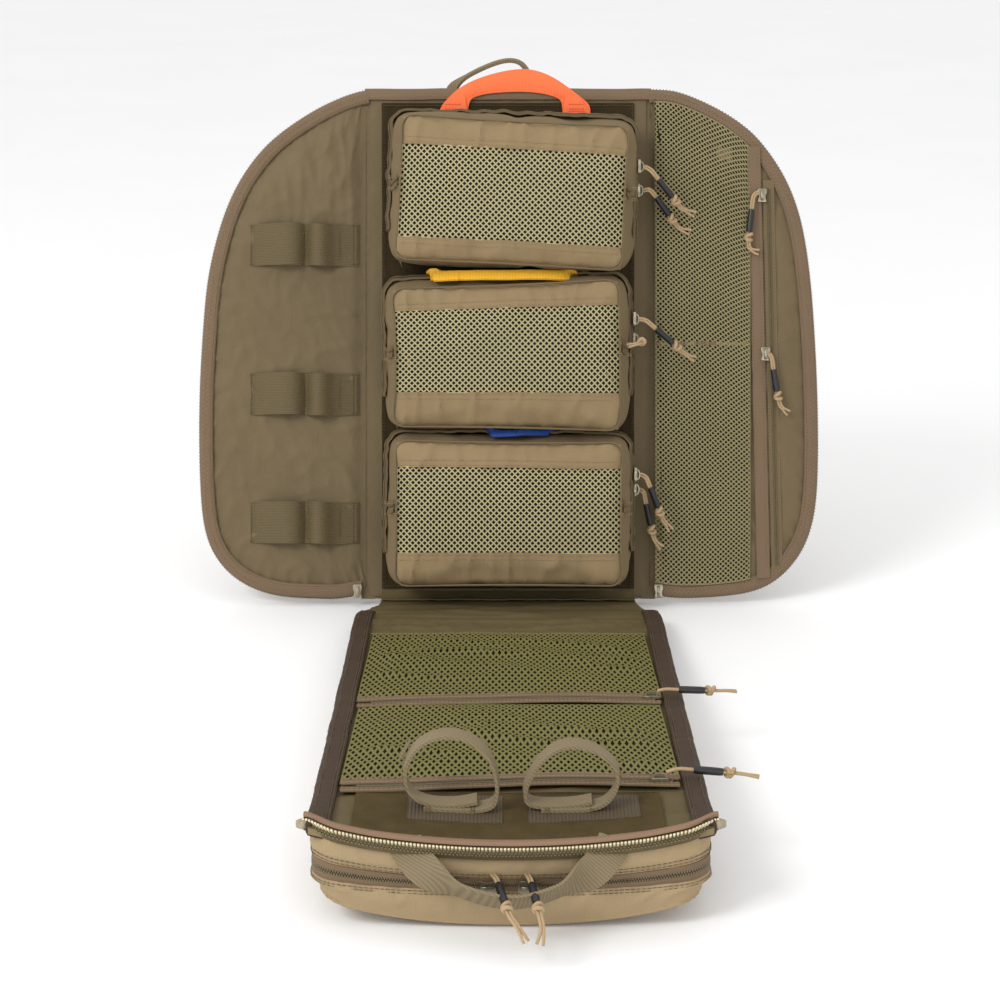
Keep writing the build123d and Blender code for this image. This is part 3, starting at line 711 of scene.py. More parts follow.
def bands(rings, closed=True, cap=True):
    """Surface through rings of equal numbers of points."""
    mesh = bmesh.new()
    rows = [[mesh.verts.new(p) for p in ring] for ring in rings]
    count = len(rows[0])
    for a, b in zip(rows, rows[1:]):
        for k in range(count if closed else count - 1):
            mesh.faces.new((a[k], a[(k + 1) % count], b[(k + 1) % count], b[k]))
    if cap:
        mesh.faces.new(list(reversed(rows[0])))
        mesh.faces.new(rows[-1])
    bmesh.ops.recalc_face_normals(mesh, faces=mesh.faces)
    data = bpy.data.meshes.new("bands")
    mesh.to_mesh(data)
    mesh.free()
    obj = bpy.data.objects.new("bands", data)
    bpy.context.scene.collection.objects.link(obj)
    return obj


def sweep(points, sides, ups, section, closed=False):
    """Section of (side, up) offsets carried along points: one closed skin."""
    rings = [
        [p + s * a + u * b for a, b in section] for p, s, u in zip(points, sides, ups)
    ]
    if closed:
        rings.append(rings[0])
    obj = bands(rings, True, not closed)
    if closed:
        only(obj)
        bpy.ops.object.mode_set(mode="EDIT")
        bpy.ops.mesh.select_all(action="SELECT")
        bpy.ops.mesh.remove_doubles(threshold=0.0001)
        bpy.ops.mesh.normals_make_consistent(inside=False)
        bpy.ops.object.mode_set(mode="OBJECT")
    return obj


def net(x0, x1, y0, y1, pitch=5.6, pitch_y=5.6, strand=0.62, thick=0.5):
    """Knitted net with lozenge holes over a rectangle, drawn in XY."""
    side = max((x1 - x0) / pitch, (y1 - y0) / pitch_y) * 1.45
    count = max(4, math.ceil(side * 1.42))
    deselect()
    bpy.ops.mesh.primitive_grid_add(x_subdivisions=count, y_subdivisions=count, size=count)
    obj = bpy.context.object
    cell = 1 / math.sqrt(2)
    obj.rotation_euler = (0, 0, math.pi / 4)
    settle(obj)
    obj.scale = (pitch * cell, pitch_y * cell, 1)
    settle(obj)
    obj.location = ((x0 + x1) / 2, (y0 + y1) / 2, 0)
    settle(obj)
    bpy.ops.object.mode_set(mode="EDIT")
    for spot, way in (((x0, 0, 0), (-1, 0, 0)), ((x1, 0, 0), (1, 0, 0)), ((0, y0, 0), (0, -1, 0)),
        ((0, y1, 0), (0, 1, 0))):
        bpy.ops.mesh.select_all(action="SELECT")
        bpy.ops.mesh.bisect(plane_co=spot, plane_no=way, clear_outer=True)
    bpy.ops.mesh.select_all(action="SELECT")
    bpy.ops.mesh.inset(thickness=strand, use_individual=True, use_even_offset=True)
    bpy.ops.mesh.delete(type="FACE")
    bpy.ops.mesh.select_all(action="SELECT")
    bpy.ops.mesh.remove_doubles(threshold=0.02)
    bpy.ops.object.mode_set(mode="OBJECT")
    thicken(obj, thick, 0)
    return obj


def drape_on(obj, targets, lift=0.0, far=300.0):
    """Lay a flat piece on what lies under it, along the drawing frame's Z."""
    trees = [BVHTree.FromPolygons([v.co for v in t.data.vertices], [p.vertices for p in t.data.polygons])
        for t in targets]
    down = Vector((0, 0, -1))

    def height(x, y):
        best = None
        for tree in trees:
            hit = tree.ray_cast(Vector((x, y, far)), down)[0]
            if hit is not None and (best is None or hit.z > best):
                best = hit.z
        return best

    known = 0.0
    for vertex in obj.data.vertices:
        found = height(vertex.co.x, vertex.co.y)
        known = known if found is None else found
        vertex.co.z += known + lift
    obj.data.update()
    return obj


def puff(obj, cap, pressure=4.0, voxel=5.0, scale=MM):
    """Fill a padded piece by cloth simulation, in its drawing frame."""
    only(obj)
    before_scale = Matrix.Scale(scale, 4)
    obj.data.transform(before_scale)
    modify(obj, "REMESH", mode="VOXEL", voxel_size=voxel * scale)
    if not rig.quick():
        start = np.empty(len(obj.data.vertices) * 3)
        obj.data.vertices.foreach_get("co", start)
        start = start.reshape(-1, 3)
        only(obj)
        cloth = obj.modifiers.new("cloth", "CLOTH")
        settings = cloth.settings
        settings.quality = 5
        settings.mass = 0.15
        settings.use_pressure = True
        settings.uniform_pressure_force = pressure
        settings.tension_stiffness = 25
        settings.compression_stiffness = 12
        settings.shear_stiffness = 8
        settings.bending_stiffness = 0.4
        settings.effector_weights.gravity = 0.0
        cloth.collision_settings.use_collision = False
        scene = bpy.context.scene
        for step in range(1, 21):
            scene.frame_set(step)
        graph = bpy.context.evaluated_depsgraph_get()
        shaped = obj.evaluated_get(graph).to_mesh()
        end = np.empty(len(shaped.vertices) * 3)
        shaped.vertices.foreach_get("co", end)
        end = end.reshape(-1, 3)
        obj.evaluated_get(graph).to_mesh_clear()
        obj.modifiers.remove(cloth)
        move = end - start
        far = np.linalg.norm(move, axis=1)
        limit = cap * scale
        move *= (np.minimum(far, limit) / np.maximum(far, 1e-9))[:, None]
        obj.data.vertices.foreach_set("co", (start + move).ravel())
        obj.data.update()
        scene.frame_set(1)
    modify(obj, "SUBSURF", levels=1, render_levels=1)
    obj.data.transform(before_scale.inverted())
    return obj


# ---- camera, light and floor -------------------------------------------------------------
def set_the_table():
    """Pale floor, soft studio light and the camera square to the open panel."""
    deselect()
    bpy.ops.mesh.primitive_plane_add(size=14, location=(0, 0, -0.001))
    floor = settle(bpy.context.object)
    floor.name = "studio_floor"
    material, tree, shader, coords = new_material("pale_floor")
    speck = texture(tree, "ShaderNodeTexNoise", coords.outputs["Object"], Scale=3.0, Detail=2.0)
    tree.links.new(mix_colour(tree, speck.outputs["Fac"], (0.86, 0.86, 0.86), (0.9, 0.9, 0.9)),
        shader.inputs["Base Color"])
    shader.inputs["Roughness"].default_value = 0.9
    floor.data.materials.append(material)
    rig.stage(floor)
    world = bpy.data.worlds.new("studio")
    bpy.context.scene.world = world
    world.use_nodes = True
    world.node_tree.nodes["Background"].inputs["Color"].default_value = (1, 1, 1, 1)
    world.node_tree.nodes["Background"].inputs["Strength"].default_value = 1.0
    for name, spot, size, power in (
        ("key", (-1.9, -1.9, 2.3), 1.2, 52),
        ("fill", (0.5, -2.9, 0.55), 1.6, 12),
        ("top", (0.1, 0.4, 3.0), 1.6, 4),
    ):
        deselect()
        bpy.ops.object.light_add(type="AREA", location=spot)
        lamp = bpy.context.object
        lamp.name = name
        lamp.data.size = size
        lamp.data.energy = power
        lamp.rotation_euler = (Vector((0, 0, 0.22)) - Vector(spot)).to_track_quat("-Z", "Y").to_euler()
    deselect()
    distance, height, aside = 2390.0, 93.0, -7.7
    eye = PANEL @ Vector((aside, -distance, height))
    bpy.ops.object.camera_add(location=eye, rotation=(math.radians(90) - LEAN, 0, 0))
    camera = bpy.context.object
    camera.data.lens = 89.6
    camera.data.sensor_width = 36
    camera.data.clip_end = 30
    bpy.context.scene.camera = camera
    bpy.context.scene.view_settings.view_transform = "Standard"


set_the_table()


# ---- pull cords --------------------------------------------------------------------------
H = HALF_SEAM
CORDS = {
    "wing_upper": (PANEL, "wing_slider_upper", [(H + 105, -9.5, 387), (H + 100.5, -10.5, 386),
    (H + 99, -10.2, 376), (H + 94.5, -9.6, 337), (H + 99, -9.6, 331), (H + 105.5, -9.6, 330)]),
    "wing_lower": (PANEL, "wing_slider_lower", [(H + 115.5, -9.5, 233), (H + 118, -10.5, 229),
    (H + 118.5, -10.2, 223), (H + 124.5, -9.6, 185), (H + 129, -9.6, 179.5), (H + 134, -9.6, 176)]),
    "top_1": (PANEL, "top_pouch_sliders", [(128.7, -37, 408), (134, -39, 406), (139, -37, 400),
    (163, -26, 371.5), (169, -22.5, 368), (178, -19, 365)]),
    "top_2": (PANEL, "top_pouch_sliders", [(128.7, -25, 387), (133, -27.5, 388.5), (138, -26.5, 385),
    (160, -14, 355), (166, -11.5, 351), (174, -10, 349)]),
    "middle_1": (PANEL, "middle_pouch_sliders", [(124.2, -37, 264), (129.5, -39.5, 263.5), (136, -38, 258),
    (165, -28, 234), (171, -25, 229.5), (178, -23, 227)]),
    "middle_2": (PANEL, "middle_pouch_sliders", [(124.2, -25, 246), (128.5, -29, 246), (129, -36, 245),
    (124, -74, 240), (119, -79, 237.5), (111, -81, 236)]),
    "bottom_1": (PANEL, "bottom_pouch_sliders", [(125.1, -37, 117), (130, -39.5, 115.5),
    (132.5, -39, 109.5), (146, -27, 75.5), (150.5, -24, 70.5), (155, -22, 64)]),
    "bottom_2": (PANEL, "bottom_pouch_sliders", [(125.1, -25, 103), (129, -27.5, 101), (130, -27, 94.5),
    (138, -17, 57.5), (142, -15, 51.5), (147, -14, 47)]),
    "far": (FLAP, "far_pocket_slider", [(121, -362, 9.5), (127, -363, 11.4), (133, -363, 11),
    (171.5, -361, 9.2), (178, -359, 9), (186, -358.5, 8)]),
    "near": (FLAP, "near_pocket_slider", [(114, -579, 9.5), (121, -578, 12), (129, -578, 11.6),
    (167.5, -581, 9.2), (174, -582.5, 8.6), (181.5, -583.5, 7.4)]),
    "compartment_left": (FLAP, "compartment_slider_left",
    [(-13, -683.3, -31), (-11.5, -689, -30.6), (-9.5, -694, -31.5), (-2, -730, -42.5), (2, -736, -46),
    (6.5, -740, -51.5), (10, -742, -58)]),
    "compartment_right": (FLAP, "compartment_slider_right",
    [(11, -683.3, -31), (12, -689, -30.6), (13.5, -694, -31.5), (19, -731, -42.5), (20.5, -737.5, -46),
    (21, -742, -52), (19, -744, -59)]),
}
CORD_NODES = {
    "wing_upper": "wing_pull_upper", "wing_lower": "wing_pull_lower", "top_1": "top_pouch_pulls",
    "middle_1": "middle_pouch_pulls", "bottom_1": "bottom_pouch_pulls", "far": "far_pocket_pull",
    "near": "near_pocket_pull", "compartment_left": "compartment_pull_left",
    "compartment_right": "compartment_pull_right",
}


def spline_points(points):
    """Points that a smooth spline with these control points passes through."""
    data = bpy.data.curves.new("route", "CURVE")
    data.dimensions = "3D"
    spline = data.splines.new("NURBS")
    spline.points.add(len(points) - 1)
    for dot, point in zip(spline.points, points):
        dot.co = (*point, 1)
    spline.order_u = 3
    spline.use_endpoint_u = True
    spline.resolution_u = 10
    holder = bpy.data.objects.new("route", data)
    bpy.context.scene.collection.objects.link(holder)
    mesh = bpy.data.meshes.new_from_object(holder)
    found = [v.co.copy() for v in mesh.vertices]
    bpy.data.objects.remove(holder)
    return found


def tube(points, radius, sides=10, taper=None):
    """Round tube along points."""
    rings = []
    side = None
    for i, point in enumerate(points):
        along = way_at(points, i)
        if side is None:
            side = along.orthogonal().normalized()
        side = (side - along * side.dot(along)).normalized()
        up = along.cross(side)
        size = radius if taper is None else radius * taper(i / (len(points) - 1))
        rings.append([point + (side * math.cos(a) + up * math.sin(a)) * size
            for a in [2 * math.pi * k / sides for k in range(sides)]])
    return bands(rings)


def knot_and_tails(centre, way, up, radius):
    """Overhand knot of doubled cord: two turns wound round the run."""
    side = way.cross(up).normalized()
    up = side.cross(way).normalized()
    pieces = []
    for turn in range(2):
        loop = []
        for k in range(25):
            a = 2 * math.pi * k / 24
            lean = 0.35 if turn == 0 else -0.3
            loop.append(centre + (side * math.cos(a) + up * math.sin(a)) * radius * 0.62
                + way * (radius * (0.42 * (turn * 2 - 1) + lean * math.cos(a + turn))))
        pieces.append(tube(loop, radius * 0.4, 8))
    return pieces


def pull_cord(name):
    """Doubled cord from its slider, through a sleeve, to a knot and two tails."""
    frame_of, body, route = CORDS[name]
    route = [Vector(p) for p in route]
    line = spline_points([frame_of @ p for p in route])
    inverse = frame_of.inverted()
    local = [inverse @ p for p in line]
    length = sum((b - a).length for a, b in zip(line, line[1:]))
    a, b = route[2], route[3]
    way = (b - a).normalized()
    up = Vector((0, -1, 0)) if frame_of is PANEL else UP
    up = (up - way * up.dot(way)).normalized()
    strands = []
    for sign in (-1, 1):
        moved = []
        for i, p in enumerate(local):
            along = way_at(local, i)
            across = along.cross(up).normalized()
            tail = max(0.0, i / (len(local) - 1) - 0.86) / 0.14
            moved.append(p + across * sign * (1.05 + 1.3 * tail))
        strands.append(tube(moved, 1.12, 8))
    cord = join(strands)
    seat(cord, frame_of, "cord_" + name, None, CORD, "pull_cord")
    # the sleeve and the knot sit where the spline is nearest to their place on the run
    def nearest(target):
        return min(range(len(local)), key=lambda i: (local[i] - target).length)

    first = nearest(a + way * 4.5)
    last = nearest(a + way * 26.5)
    run = local[first:last + 1]
    fat = tube(run, 3.0, 14, taper=lambda t: 1.0 - 0.12 * (abs(t - 0.5) * 2) ** 6)
    seat(fat, frame_of, "sleeve_" + name, None, SLEEVE, "pull_cord")
    centre = local[nearest(a + way * 31.0)]
    knot = join(knot_and_tails(centre, way, up, 4.3))
    seat(knot, frame_of, "knot_" + name, None, CORD, "pull_cord")
    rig.cord(cord, exit=line[0], length=length, diameter=0.0044, far_end="knot", stiffness="limp",
        lay="hanging", path=line, with_pieces=[fat, knot])
    if name in CORD_NODES:
        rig.replaces(cord, CORD_NODES[name])
    for piece in (cord, fat, knot):
        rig.ride(piece, body)
    return cord


for cord_name in CORDS:
    pull_cord(cord_name)


# ---- side wings --------------------------------------------------------------------------
LEFT_EDGE = [(-135.6, 486.4), (-147.8, 484), (-166, 477), (-184.3, 468.3), (-216, 448.1), (-239, 427),
    (-257.2, 401), (-268.8, 377), (-277.4, 352), (-285, 322), (-289.9, 291.7), (-292.8, 251.4),
    (-295.7, 206.3), (-296.5, 145.8), (-294.5, 84), (-288.9, 54.6), (-277.4, 32.5), (-258, 14.5),
    (-234.2, 4.5), (-214, 0.5), (-190, -0.5), (-164.1, -1.5), (-151.7, 1.0), (-139, 3.0)]
RIGHT_EDGE = [(135.6, 487), (150, 486.8), (164.1, 485), (184.3, 477), (208.2, 465.4), (234.2, 447.2),
    (251.4, 426.1), (266.8, 402.1), (278.3, 373.3), (285.1, 343.5), (290.8, 301.3), (294.7, 243.7),
    (297.0, 190.9), (297.5, 139.1), (296.5, 97.8), (291.7, 66.1), (280.2, 39.3), (261, 18.1), (241.8, 7.6),
    (221.7, 3.0), (191.9, 0.2), (165, -0.5), (150, 1.0), (139, 3.0)]


def smooth_line(dots, count):
    """Even points along a smooth line through these dots."""
    spots = np.array(dots, float)
    for _ in range(3):
        mid = (spots[:-1] + spots[1:]) / 2
        cut = np.empty((len(spots) * 2 - 1, spots.shape[1]))
        cut[0::2] = spots
        cut[1::2] = mid
        cut[2:-2:2] = (cut[2:-2:2] * 2 + cut[1:-3:2] + cut[3:-1:2]) / 4
        spots = cut
    along = np.r_[0, np.cumsum(np.linalg.norm(np.diff(spots, axis=0), axis=1))]
    even = np.linspace(0, along[-1], count)
    return [tuple(np.interp(t, along, spots[:, k]) for k in range(spots.shape[1])) for t in even]


EDGES = {"left": smooth_line(LEFT_EDGE, 181), "right": smooth_line(RIGHT_EDGE, 181)}


def inward(edge, amount):
    """The edge moved towards the middle of the wing."""
    moved = []
    for i, (x, y) in enumerate(edge):
        before, after = edge[max(i - 1, 0)], edge[min(i + 1, len(edge) - 1)]
        tx, ty = after[0] - before[0], after[1] - before[1]
        size = math.hypot(tx, ty)
        nx, ny = ty / size, -tx / size
        centre_x = math.copysign(200, edge[0][0])
        if nx * (centre_x - x) + ny * (230 - y) < 0:
            nx, ny = -nx, -ny
        moved.append((x + nx * amount, y + ny * amount))
    return moved


def span_at(edge, x):
    """Lowest and highest place of the edge at this distance across."""
    low, high = 1e9, -1e9
    for (x0, y0), (x1, y1) in zip(edge, edge[1:]):
        if (x0 - x) * (x1 - x) <= 0 and x0 != x1:
            y = y0 + (y1 - y0) * (x - x0) / (x1 - x0)
            low, high = min(low, y), max(high, y)
    return low, high


def wing_height(side, x, y):
    """How far the padded lining stands forward of the wing's plane."""
    edge = EDGES[side]
    near = min((x - ex) ** 2 + (y - ey) ** 2 for ex, ey in edge[::6]) ** 0.5
    seam = abs(x) - HALF_SEAM
    rim = min(1.0, max(0.0, (near - 8) / 22)) * min(1.0, max(0.0, (seam - 3) / 14))
    swell = 2.2 * rim * rim * (3 - 2 * rim)
    pull = creases(x, y, 3 if side == "left" else 5, 34, (1.0, 1.0)) * 0.9
    pull += creases(x + y * 0.4, y - x * 0.3, 9, 18, (1.0, 2.2)) * 0.6
    gather = max(0.0, 1 - max(0.0, near - 10) / 26)
    along = math.atan2(y - 230, x - math.copysign(190, x)) * 260
    pucker = gather * 2.2 * (creases(along, near, 21, 11, (1.0, 5.0)) - 0.25)
    falls = 2.6 * creases(x * 1.2, y * 0.3, 13, 15, (1.0, 2.0)) * ease_in(300, 450, y) * ease_in(3, 16,
        seam) * (1 - ease_in(70, 110, seam))
    return -1.4 + swell * 1.15 + (pull * 1.5 + falls) * rim + pucker


def wing(side):
    """Padded wing: lining with its puckers, outer shell, binding and half zip."""
    sign = -1 if side == "left" else 1
    edge = EDGES[side]
    body = side + "_wing"
    inner = inward(edge, 5.0)
    count = len(inner)
    across = 56
    rings = []
    for k in range(across + 1):
        a = k / across
        row = []
        for i, (ex, ey) in enumerate(inner):
            t = i / (count - 1)
            sy = (inner[0][1] - 3) * (1 - t) + (inner[-1][1] + 2) * t
            sx = sign * (HALF_SEAM + 2.2)
            x = sx * (1 - a) + ex * a
            y = sy * (1 - a) + ey * a
            row.append(Vector((x, y, wing_height(side, x, y))))
        rings.append(row)
    lining = bands(rings, closed=False, cap=False)
    thicken(lining, 1.2, -1)
    only(lining)
    seat(lining, ON_PANEL, side + "_wing_lining", body, LINING, "lining_nylon", smooth=80)

    shell_rings = []
    outer = inward(edge, 3.5)
    for a in np.linspace(0, 1, 18):
        row = []
        for i, (ex, ey) in enumerate(outer):
            t = i / (count - 1)
            sy = (outer[0][1] - 2) * (1 - t) + (outer[-1][1] + 1) * t
            sx = sign * (HALF_SEAM + 2.6)
            x = sx * (1 - a) + ex * a
            y = sy * (1 - a) + ey * a
            rim = math.sin(math.pi * min(1, max(0, a))) ** 0.5
            z = -9.2 - 2.4 * rim - 0.8 * fold_noise(x, y, 33, 50)
            row.append(Vector((x, y, z)))
        shell_rings.append(row)
    shell = bands(shell_rings, closed=False, cap=False)
    thicken(shell, 5.0, 1 if side == "left" else -1)
    only(shell)
    seat(shell, ON_PANEL, side + "_wing_shell", body, SHELL, "pack_cloth",
        stands_for=(side + "_wing_panel",), smooth=80)
    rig.padded(shell, fill=0.5)

    line = [Vector((x, y, 0)) for x, y in edge]
    ups = [UP] * count
    middle = Vector((sign * 200, 230, 0))
    outs = [outward(way_at(line, i), p, middle) for i, p in enumerate(line)]
    wavy = [0.5 * fold_noise(i * 4.0, 0, 41, 13) for i in range(count)]
    section = [
        (-13.0, 1.3), (-12.6, 2.1), (-8.5, 2.5), (-4.0, 2.3), (-1.2, 1.5), (0.2, -0.8), (0.4, -5.0),
        (-0.1, -9.6), (-1.4, -11.2), (-5.0, -11.9), (-12.6, -11.6), (-13.0, -10.8), (-9.0, -10.2),
        (-3.2, -8.6), (-3.2, -0.4), (-9.0, 0.4),
    ]
    rings = [[p + o * (a + w * 0.35) + u * (b + w * 0.35) for a, b in section]
        for p, o, u, w in zip(line, outs, ups, wavy)]
    binding = bands(rings)
    seat(binding, ON_PANEL, side + "_wing_binding_tape", body, TAPE, "binding",
        stands_for=(side + "_wing_binding",))

    rows = []
    for depth, lift in ((11.4, 2.45), (9.6, 2.6)):
        run = [p - o * depth + Vector((0, 0, lift)) for p, o in zip(line, outs)]
        rows.append(stitches(run, UP, pitch=3.4, length=2.5, width=0.5))
    zigzag = []
    for i, (p, w) in enumerate(walk(line, 2.2, 2.0)):
        o = outward(w, p, middle)
        zigzag.append(p - o * (5.2 + (1.1 if i % 2 else -1.1)) + Vector((0, 0, 2.5)))
    rows.append(stitches(zigzag, UP, pitch=3.1, length=2.8, width=0.45, start=0.2))
    sewing = join(rows)
    seat(sewing, ON_PANEL, side + "_wing_stitching", body, THREAD_PALE, "binding")

    # half of the main zip round the edge: tape and coil
    tape = sweep(line, outs, ups, [(-2.5, -5.2), (1.0, -5.5), (1.0, -6.3), (-2.5, -6.3)])
    seat(tape, ON_PANEL, side + "_main_zip_tape", body, ZIP_TAPE, "zip_coil")
    deselect()
    bpy.ops.mesh.primitive_torus_add(major_radius=1.25, minor_radius=0.45, major_segments=10,
        minor_segments=5, rotation=(0, math.pi / 2, 0))
    tooth = settle(bpy.context.object)
    spots = []
    for p, w in walk(line, 3.2, 1.0):
        o = outward(w, p, middle)
        spots.append(basis(p + o * 0.3 + Vector((0, 0, -5.9)), w, UP))
    coil = copies(tooth, spots)
    seat(coil, ON_PANEL, side + "_main_zip_coil", body, COIL, "zip_coil")


for wing_side in ("left", "right"):
    wing(wing_side)

# fold strip between each wing and the panel: nylon that bends with the wing
for wing_side, sign in (("left", -1), ("right", 1)):
    strip = grid(-7, 7, -2, 483, 3.5)
    reshape(strip, lambda x, y, z: (x + sign * HALF_SEAM, y,
        -1.6 - 1.2 * math.exp(-(x / 2.6) ** 2) + 0.5 * creases(x, y, 61, 9, (3.0, 1.0))))
    thicken(strip, 0.8, -1)
    only(strip)
    seat(strip, ON_PANEL, wing_side + "_fold_strip", None, LINING, "lining_nylon", smooth=80)
    start, end = (ON_PANEL @ Vector((sign * (HALF_SEAM + d), 240, 0)) for d in (-5, 5))
    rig.blend(strip, "back_panel", wing_side + "_wing", start, end)


def elastic_band(number, low):
    """Elastic sewn to the left wing at three places so that it stands in two loops."""
    dots = [(-143.5, 1.2), (-149, 1.6), (-156, 2.6), (-163, 4.2), (-169, 7.5), (-174, 12.5), (-179, 15.2),
        (-184, 14.5), (-188, 10.5), (-191, 5.0), (-193.6, 2.4),
            (-196, 4.2), (-199, 9.0), (-204, 12.8), (-211, 13.6), (-219, 11.5), (-227, 7.8), (-234, 4.6),
            (-240.5, 2.4), (-247, 1.4)]
    line = smooth_line(dots, 90)
    rings = []
    for x, z in line:
        wave = 0.7 * fold_noise(x, low, 71 + number, 20)
        droop = 0.5 * math.sin((x + 143) / 16)
        column = []
        for k in range(13):
            b = k / 12
            bulge = 0.9 * math.sin(math.pi * b)
            column.append(Vector((x, low + 40 * b + droop + wave,
                z * (1 - 0.03 * (b - 0.5)) + (bulge if z > 4 else 0))))
        rings.append(column)
    band = bands(rings, closed=False, cap=False)
    thicken(band, 1.3, 0)
    only(band)
    seat(band, ON_PANEL, "elastic_band_%d" % number, "left_wing", ELASTIC, "elastic")
    rows = []
    for x in (-146.5, -194.2, -244.5):
        for shift in (-1.6, 1.6) if x != -194.2 else (-1.2, 1.2):
            run = [Vector((x + shift, low + 2 + k * 2, 2.9 if x == -194.2 else 2.4)) for k in range(19)]
            rows.append(stitches(run, UP, pitch=2.6, length=2.0, width=0.6, start=0.4))
    for edge_at in (1.5, 38.5):
        for x0, x1 in ((-149, -143.5), (-247, -240.5)):
            run = [Vector((x0 + (x1 - x0) * k / 3, low + edge_at, 2.4)) for k in range(4)]
            rows.append(stitches(run, UP, pitch=2.4, length=1.9, width=0.6, start=0.2))
    sewing = join(rows)
    seat(sewing, ON_PANEL, "elastic_stitches_%d" % number, "left_wing", THREAD, "elastic")
    return band


elastic_bands = [elastic_band(n, low) for n, low in enumerate((317.5, 174.5, 51.5), 1)]
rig.replaces(elastic_bands[0], "elastic_loops")


# ---- mesh pocket of the right wing ----------------------------------------------------------
ZIP_TOP = (250.0, 384.0)
ZIP_FOOT = (258.0, 34.0)


def zip_line_x(y):
    """Distance across of the wing pocket's zip at this height."""
    return ZIP_FOOT[0] + (ZIP_TOP[0] - ZIP_FOOT[0]) * (y - ZIP_FOOT[1]) / (ZIP_TOP[1] - ZIP_FOOT[1])


def wing_pocket():
    """Net panel, its tape, the upright coil zip and their stitching."""
    edge = inward(EDGES["right"], 10.5)
    x0, x1 = 140.5, 232.0
    panel = net(x0, x1, 0, 470, 5.0, 5.0, strand=0.6)

    def onto(x, y, z):
        low, high = span_at(edge, x)
        t = y / 470
        return x + max(0, t - 0.85) * -2, low + 1 + t * (high - low - 2), z + net_height(x, y)

    def net_height(x, y):
        seam = math.exp(-((y - 240) / 5.0) ** 2)
        lie = max(0.0, wing_height("right", x, y))
        sag = 1.6 * fold_noise(x + y * 0.5, y, 81, 46) + 1.2 * creases(x, y - x * 0.6, 83, 60, (1.6, 1.0))
        return lie + 3.6 + max(-1.2, sag) - 0.9 * seam

    reshape(panel, onto)
    seat(panel, ON_PANEL, "wing_pocket_net", "right_wing", NET_WING, "mesh", stands_for=("wing_mesh_pocket",))
    # Dark sheet under the net: painted shade of the pocket's inside seen through the holes.
    back = grid(x0, x1, 0, 470, 7)
    reshape(back, onto)
    reshape(back, lambda x, y, z: (x, y, z - 1.3))
    thicken(back, 0.4, -1)
    only(back)
    seat(back, ON_PANEL, "wing_pocket_backing", "right_wing", NET_HOLE_SHADE, "mesh", smooth=80)

    pieces = []
    y_at = 243.0
    seam = [Vector((x0 + k * 2, y_at - 0.3 * math.sin(k * 0.21), 4.3)) for k in range(46)]
    pieces.append(ribbon(seam, [Vector((0, 1, 0))] * len(seam), 3.0, 0.8))
    run = [Vector((zip_line_x(y) - 13.5 + 0.4 * fold_noise(0, y, 87, 22), y,
        3.6 + 0.5 * fold_noise(4, y, 88, 30))) for y in np.linspace(18, 432, 110)]
    pieces.append(ribbon(run, [Vector((1, 0, 0))] * len(run), 12.5, 1.2))
    tape = join(pieces)
    seat(tape, ON_PANEL, "wing_pocket_tape", "right_wing", TAPE, "binding", stands_for=("wing_pocket_zip",))
    run = [Vector((zip_line_x(y), y, 2.0)) for y in np.linspace(24, 400, 90)]
    cloth = ribbon(run, [Vector((1, 0, 0))] * len(run), 11.0, 0.9)
    seat(cloth, ON_PANEL, "wing_zip_cloth", "right_wing", LINING, "zip_coil")
    rows = []
    for shift in (-18.4, -9.4, -4.6, 4.4):
        run = [Vector((zip_line_x(y) + shift, y, 4.5 if shift < -9 else 2.7))
            for y in np.linspace(26, 428 if shift < -9 else 396, 80)]
        rows.append(stitches(run, UP, pitch=3.3, length=2.4, width=0.5))
    sewing = join(rows)
    seat(sewing, ON_PANEL, "wing_pocket_stitching", "right_wing", THREAD_PALE, "binding")
    coil = coil_zip([Vector((zip_line_x(y), y, 2.9)) for y in np.linspace(30, 392, 90)], UP, pitch=1.5)
    seat(coil, ON_PANEL, "wing_zip_coil", "right_wing", COIL, "zip_coil")


def coil_zip(points, up, pitch=1.5, width=4.2, tall=1.5):
    """Closed coil zip: a chain of paired humps along points."""
    deselect()
    bpy.ops.mesh.primitive_uv_sphere_add(segments=8, ring_count=5, radius=1)
    tooth = bpy.context.object
    tooth.scale = (pitch * 0.42, width * 0.27, tall * 0.55)
    settle(tooth)
    spots = []
    for i, (p, w) in enumerate(walk(points, pitch / 2, 0.3)):
        normal = up(p) if callable(up) else up
        side = w.cross(normal).normalized()
        spots.append(basis(p + side * (width * 0.22 if i % 2 else -width * 0.22), w, normal))
    return copies(tooth, spots)


def slider_shape(length=13.0, width=9.0):
    """Coil-zip slider seen from above, nose along +X, bridge on +Z."""
    deselect()
    bpy.ops.mesh.primitive_cube_add(size=1, location=(0, 0, 1.4))
    plate = bpy.context.object
    plate.scale = (length, width, 2.6)
    settle(plate)
    bpy.ops.object.mode_set(mode="EDIT")
    bpy.ops.mesh.select_all(action="SELECT")
    bpy.ops.mesh.subdivide(number_cuts=5)
    bpy.ops.object.mode_set(mode="OBJECT")

    def pinch(x, y, z):
        t = x / length
        waist = 0.72 + 0.28 * math.cos((t - 0.28) * math.pi * 1.25) ** 2
        return x, y * waist, z + 0.25 * math.cos(t * math.pi) * (1 if z > 1.4 else 0)

    reshape(plate, pinch)
    modify(plate, "BEVEL", width=0.7, segments=2, limit_method="ANGLE")
    arch = []
    for k in range(13):
        a = math.pi * k / 12
        arch.append(Vector((-length * 0.36 * math.cos(a), 0, 2.4 + 3.0 * math.sin(a) ** 0.8)))
    bridge = ribbon(arch, [Vector((0, 1, 0))] * len(arch), 2.8, 0.9)
    return join([plate, bridge])


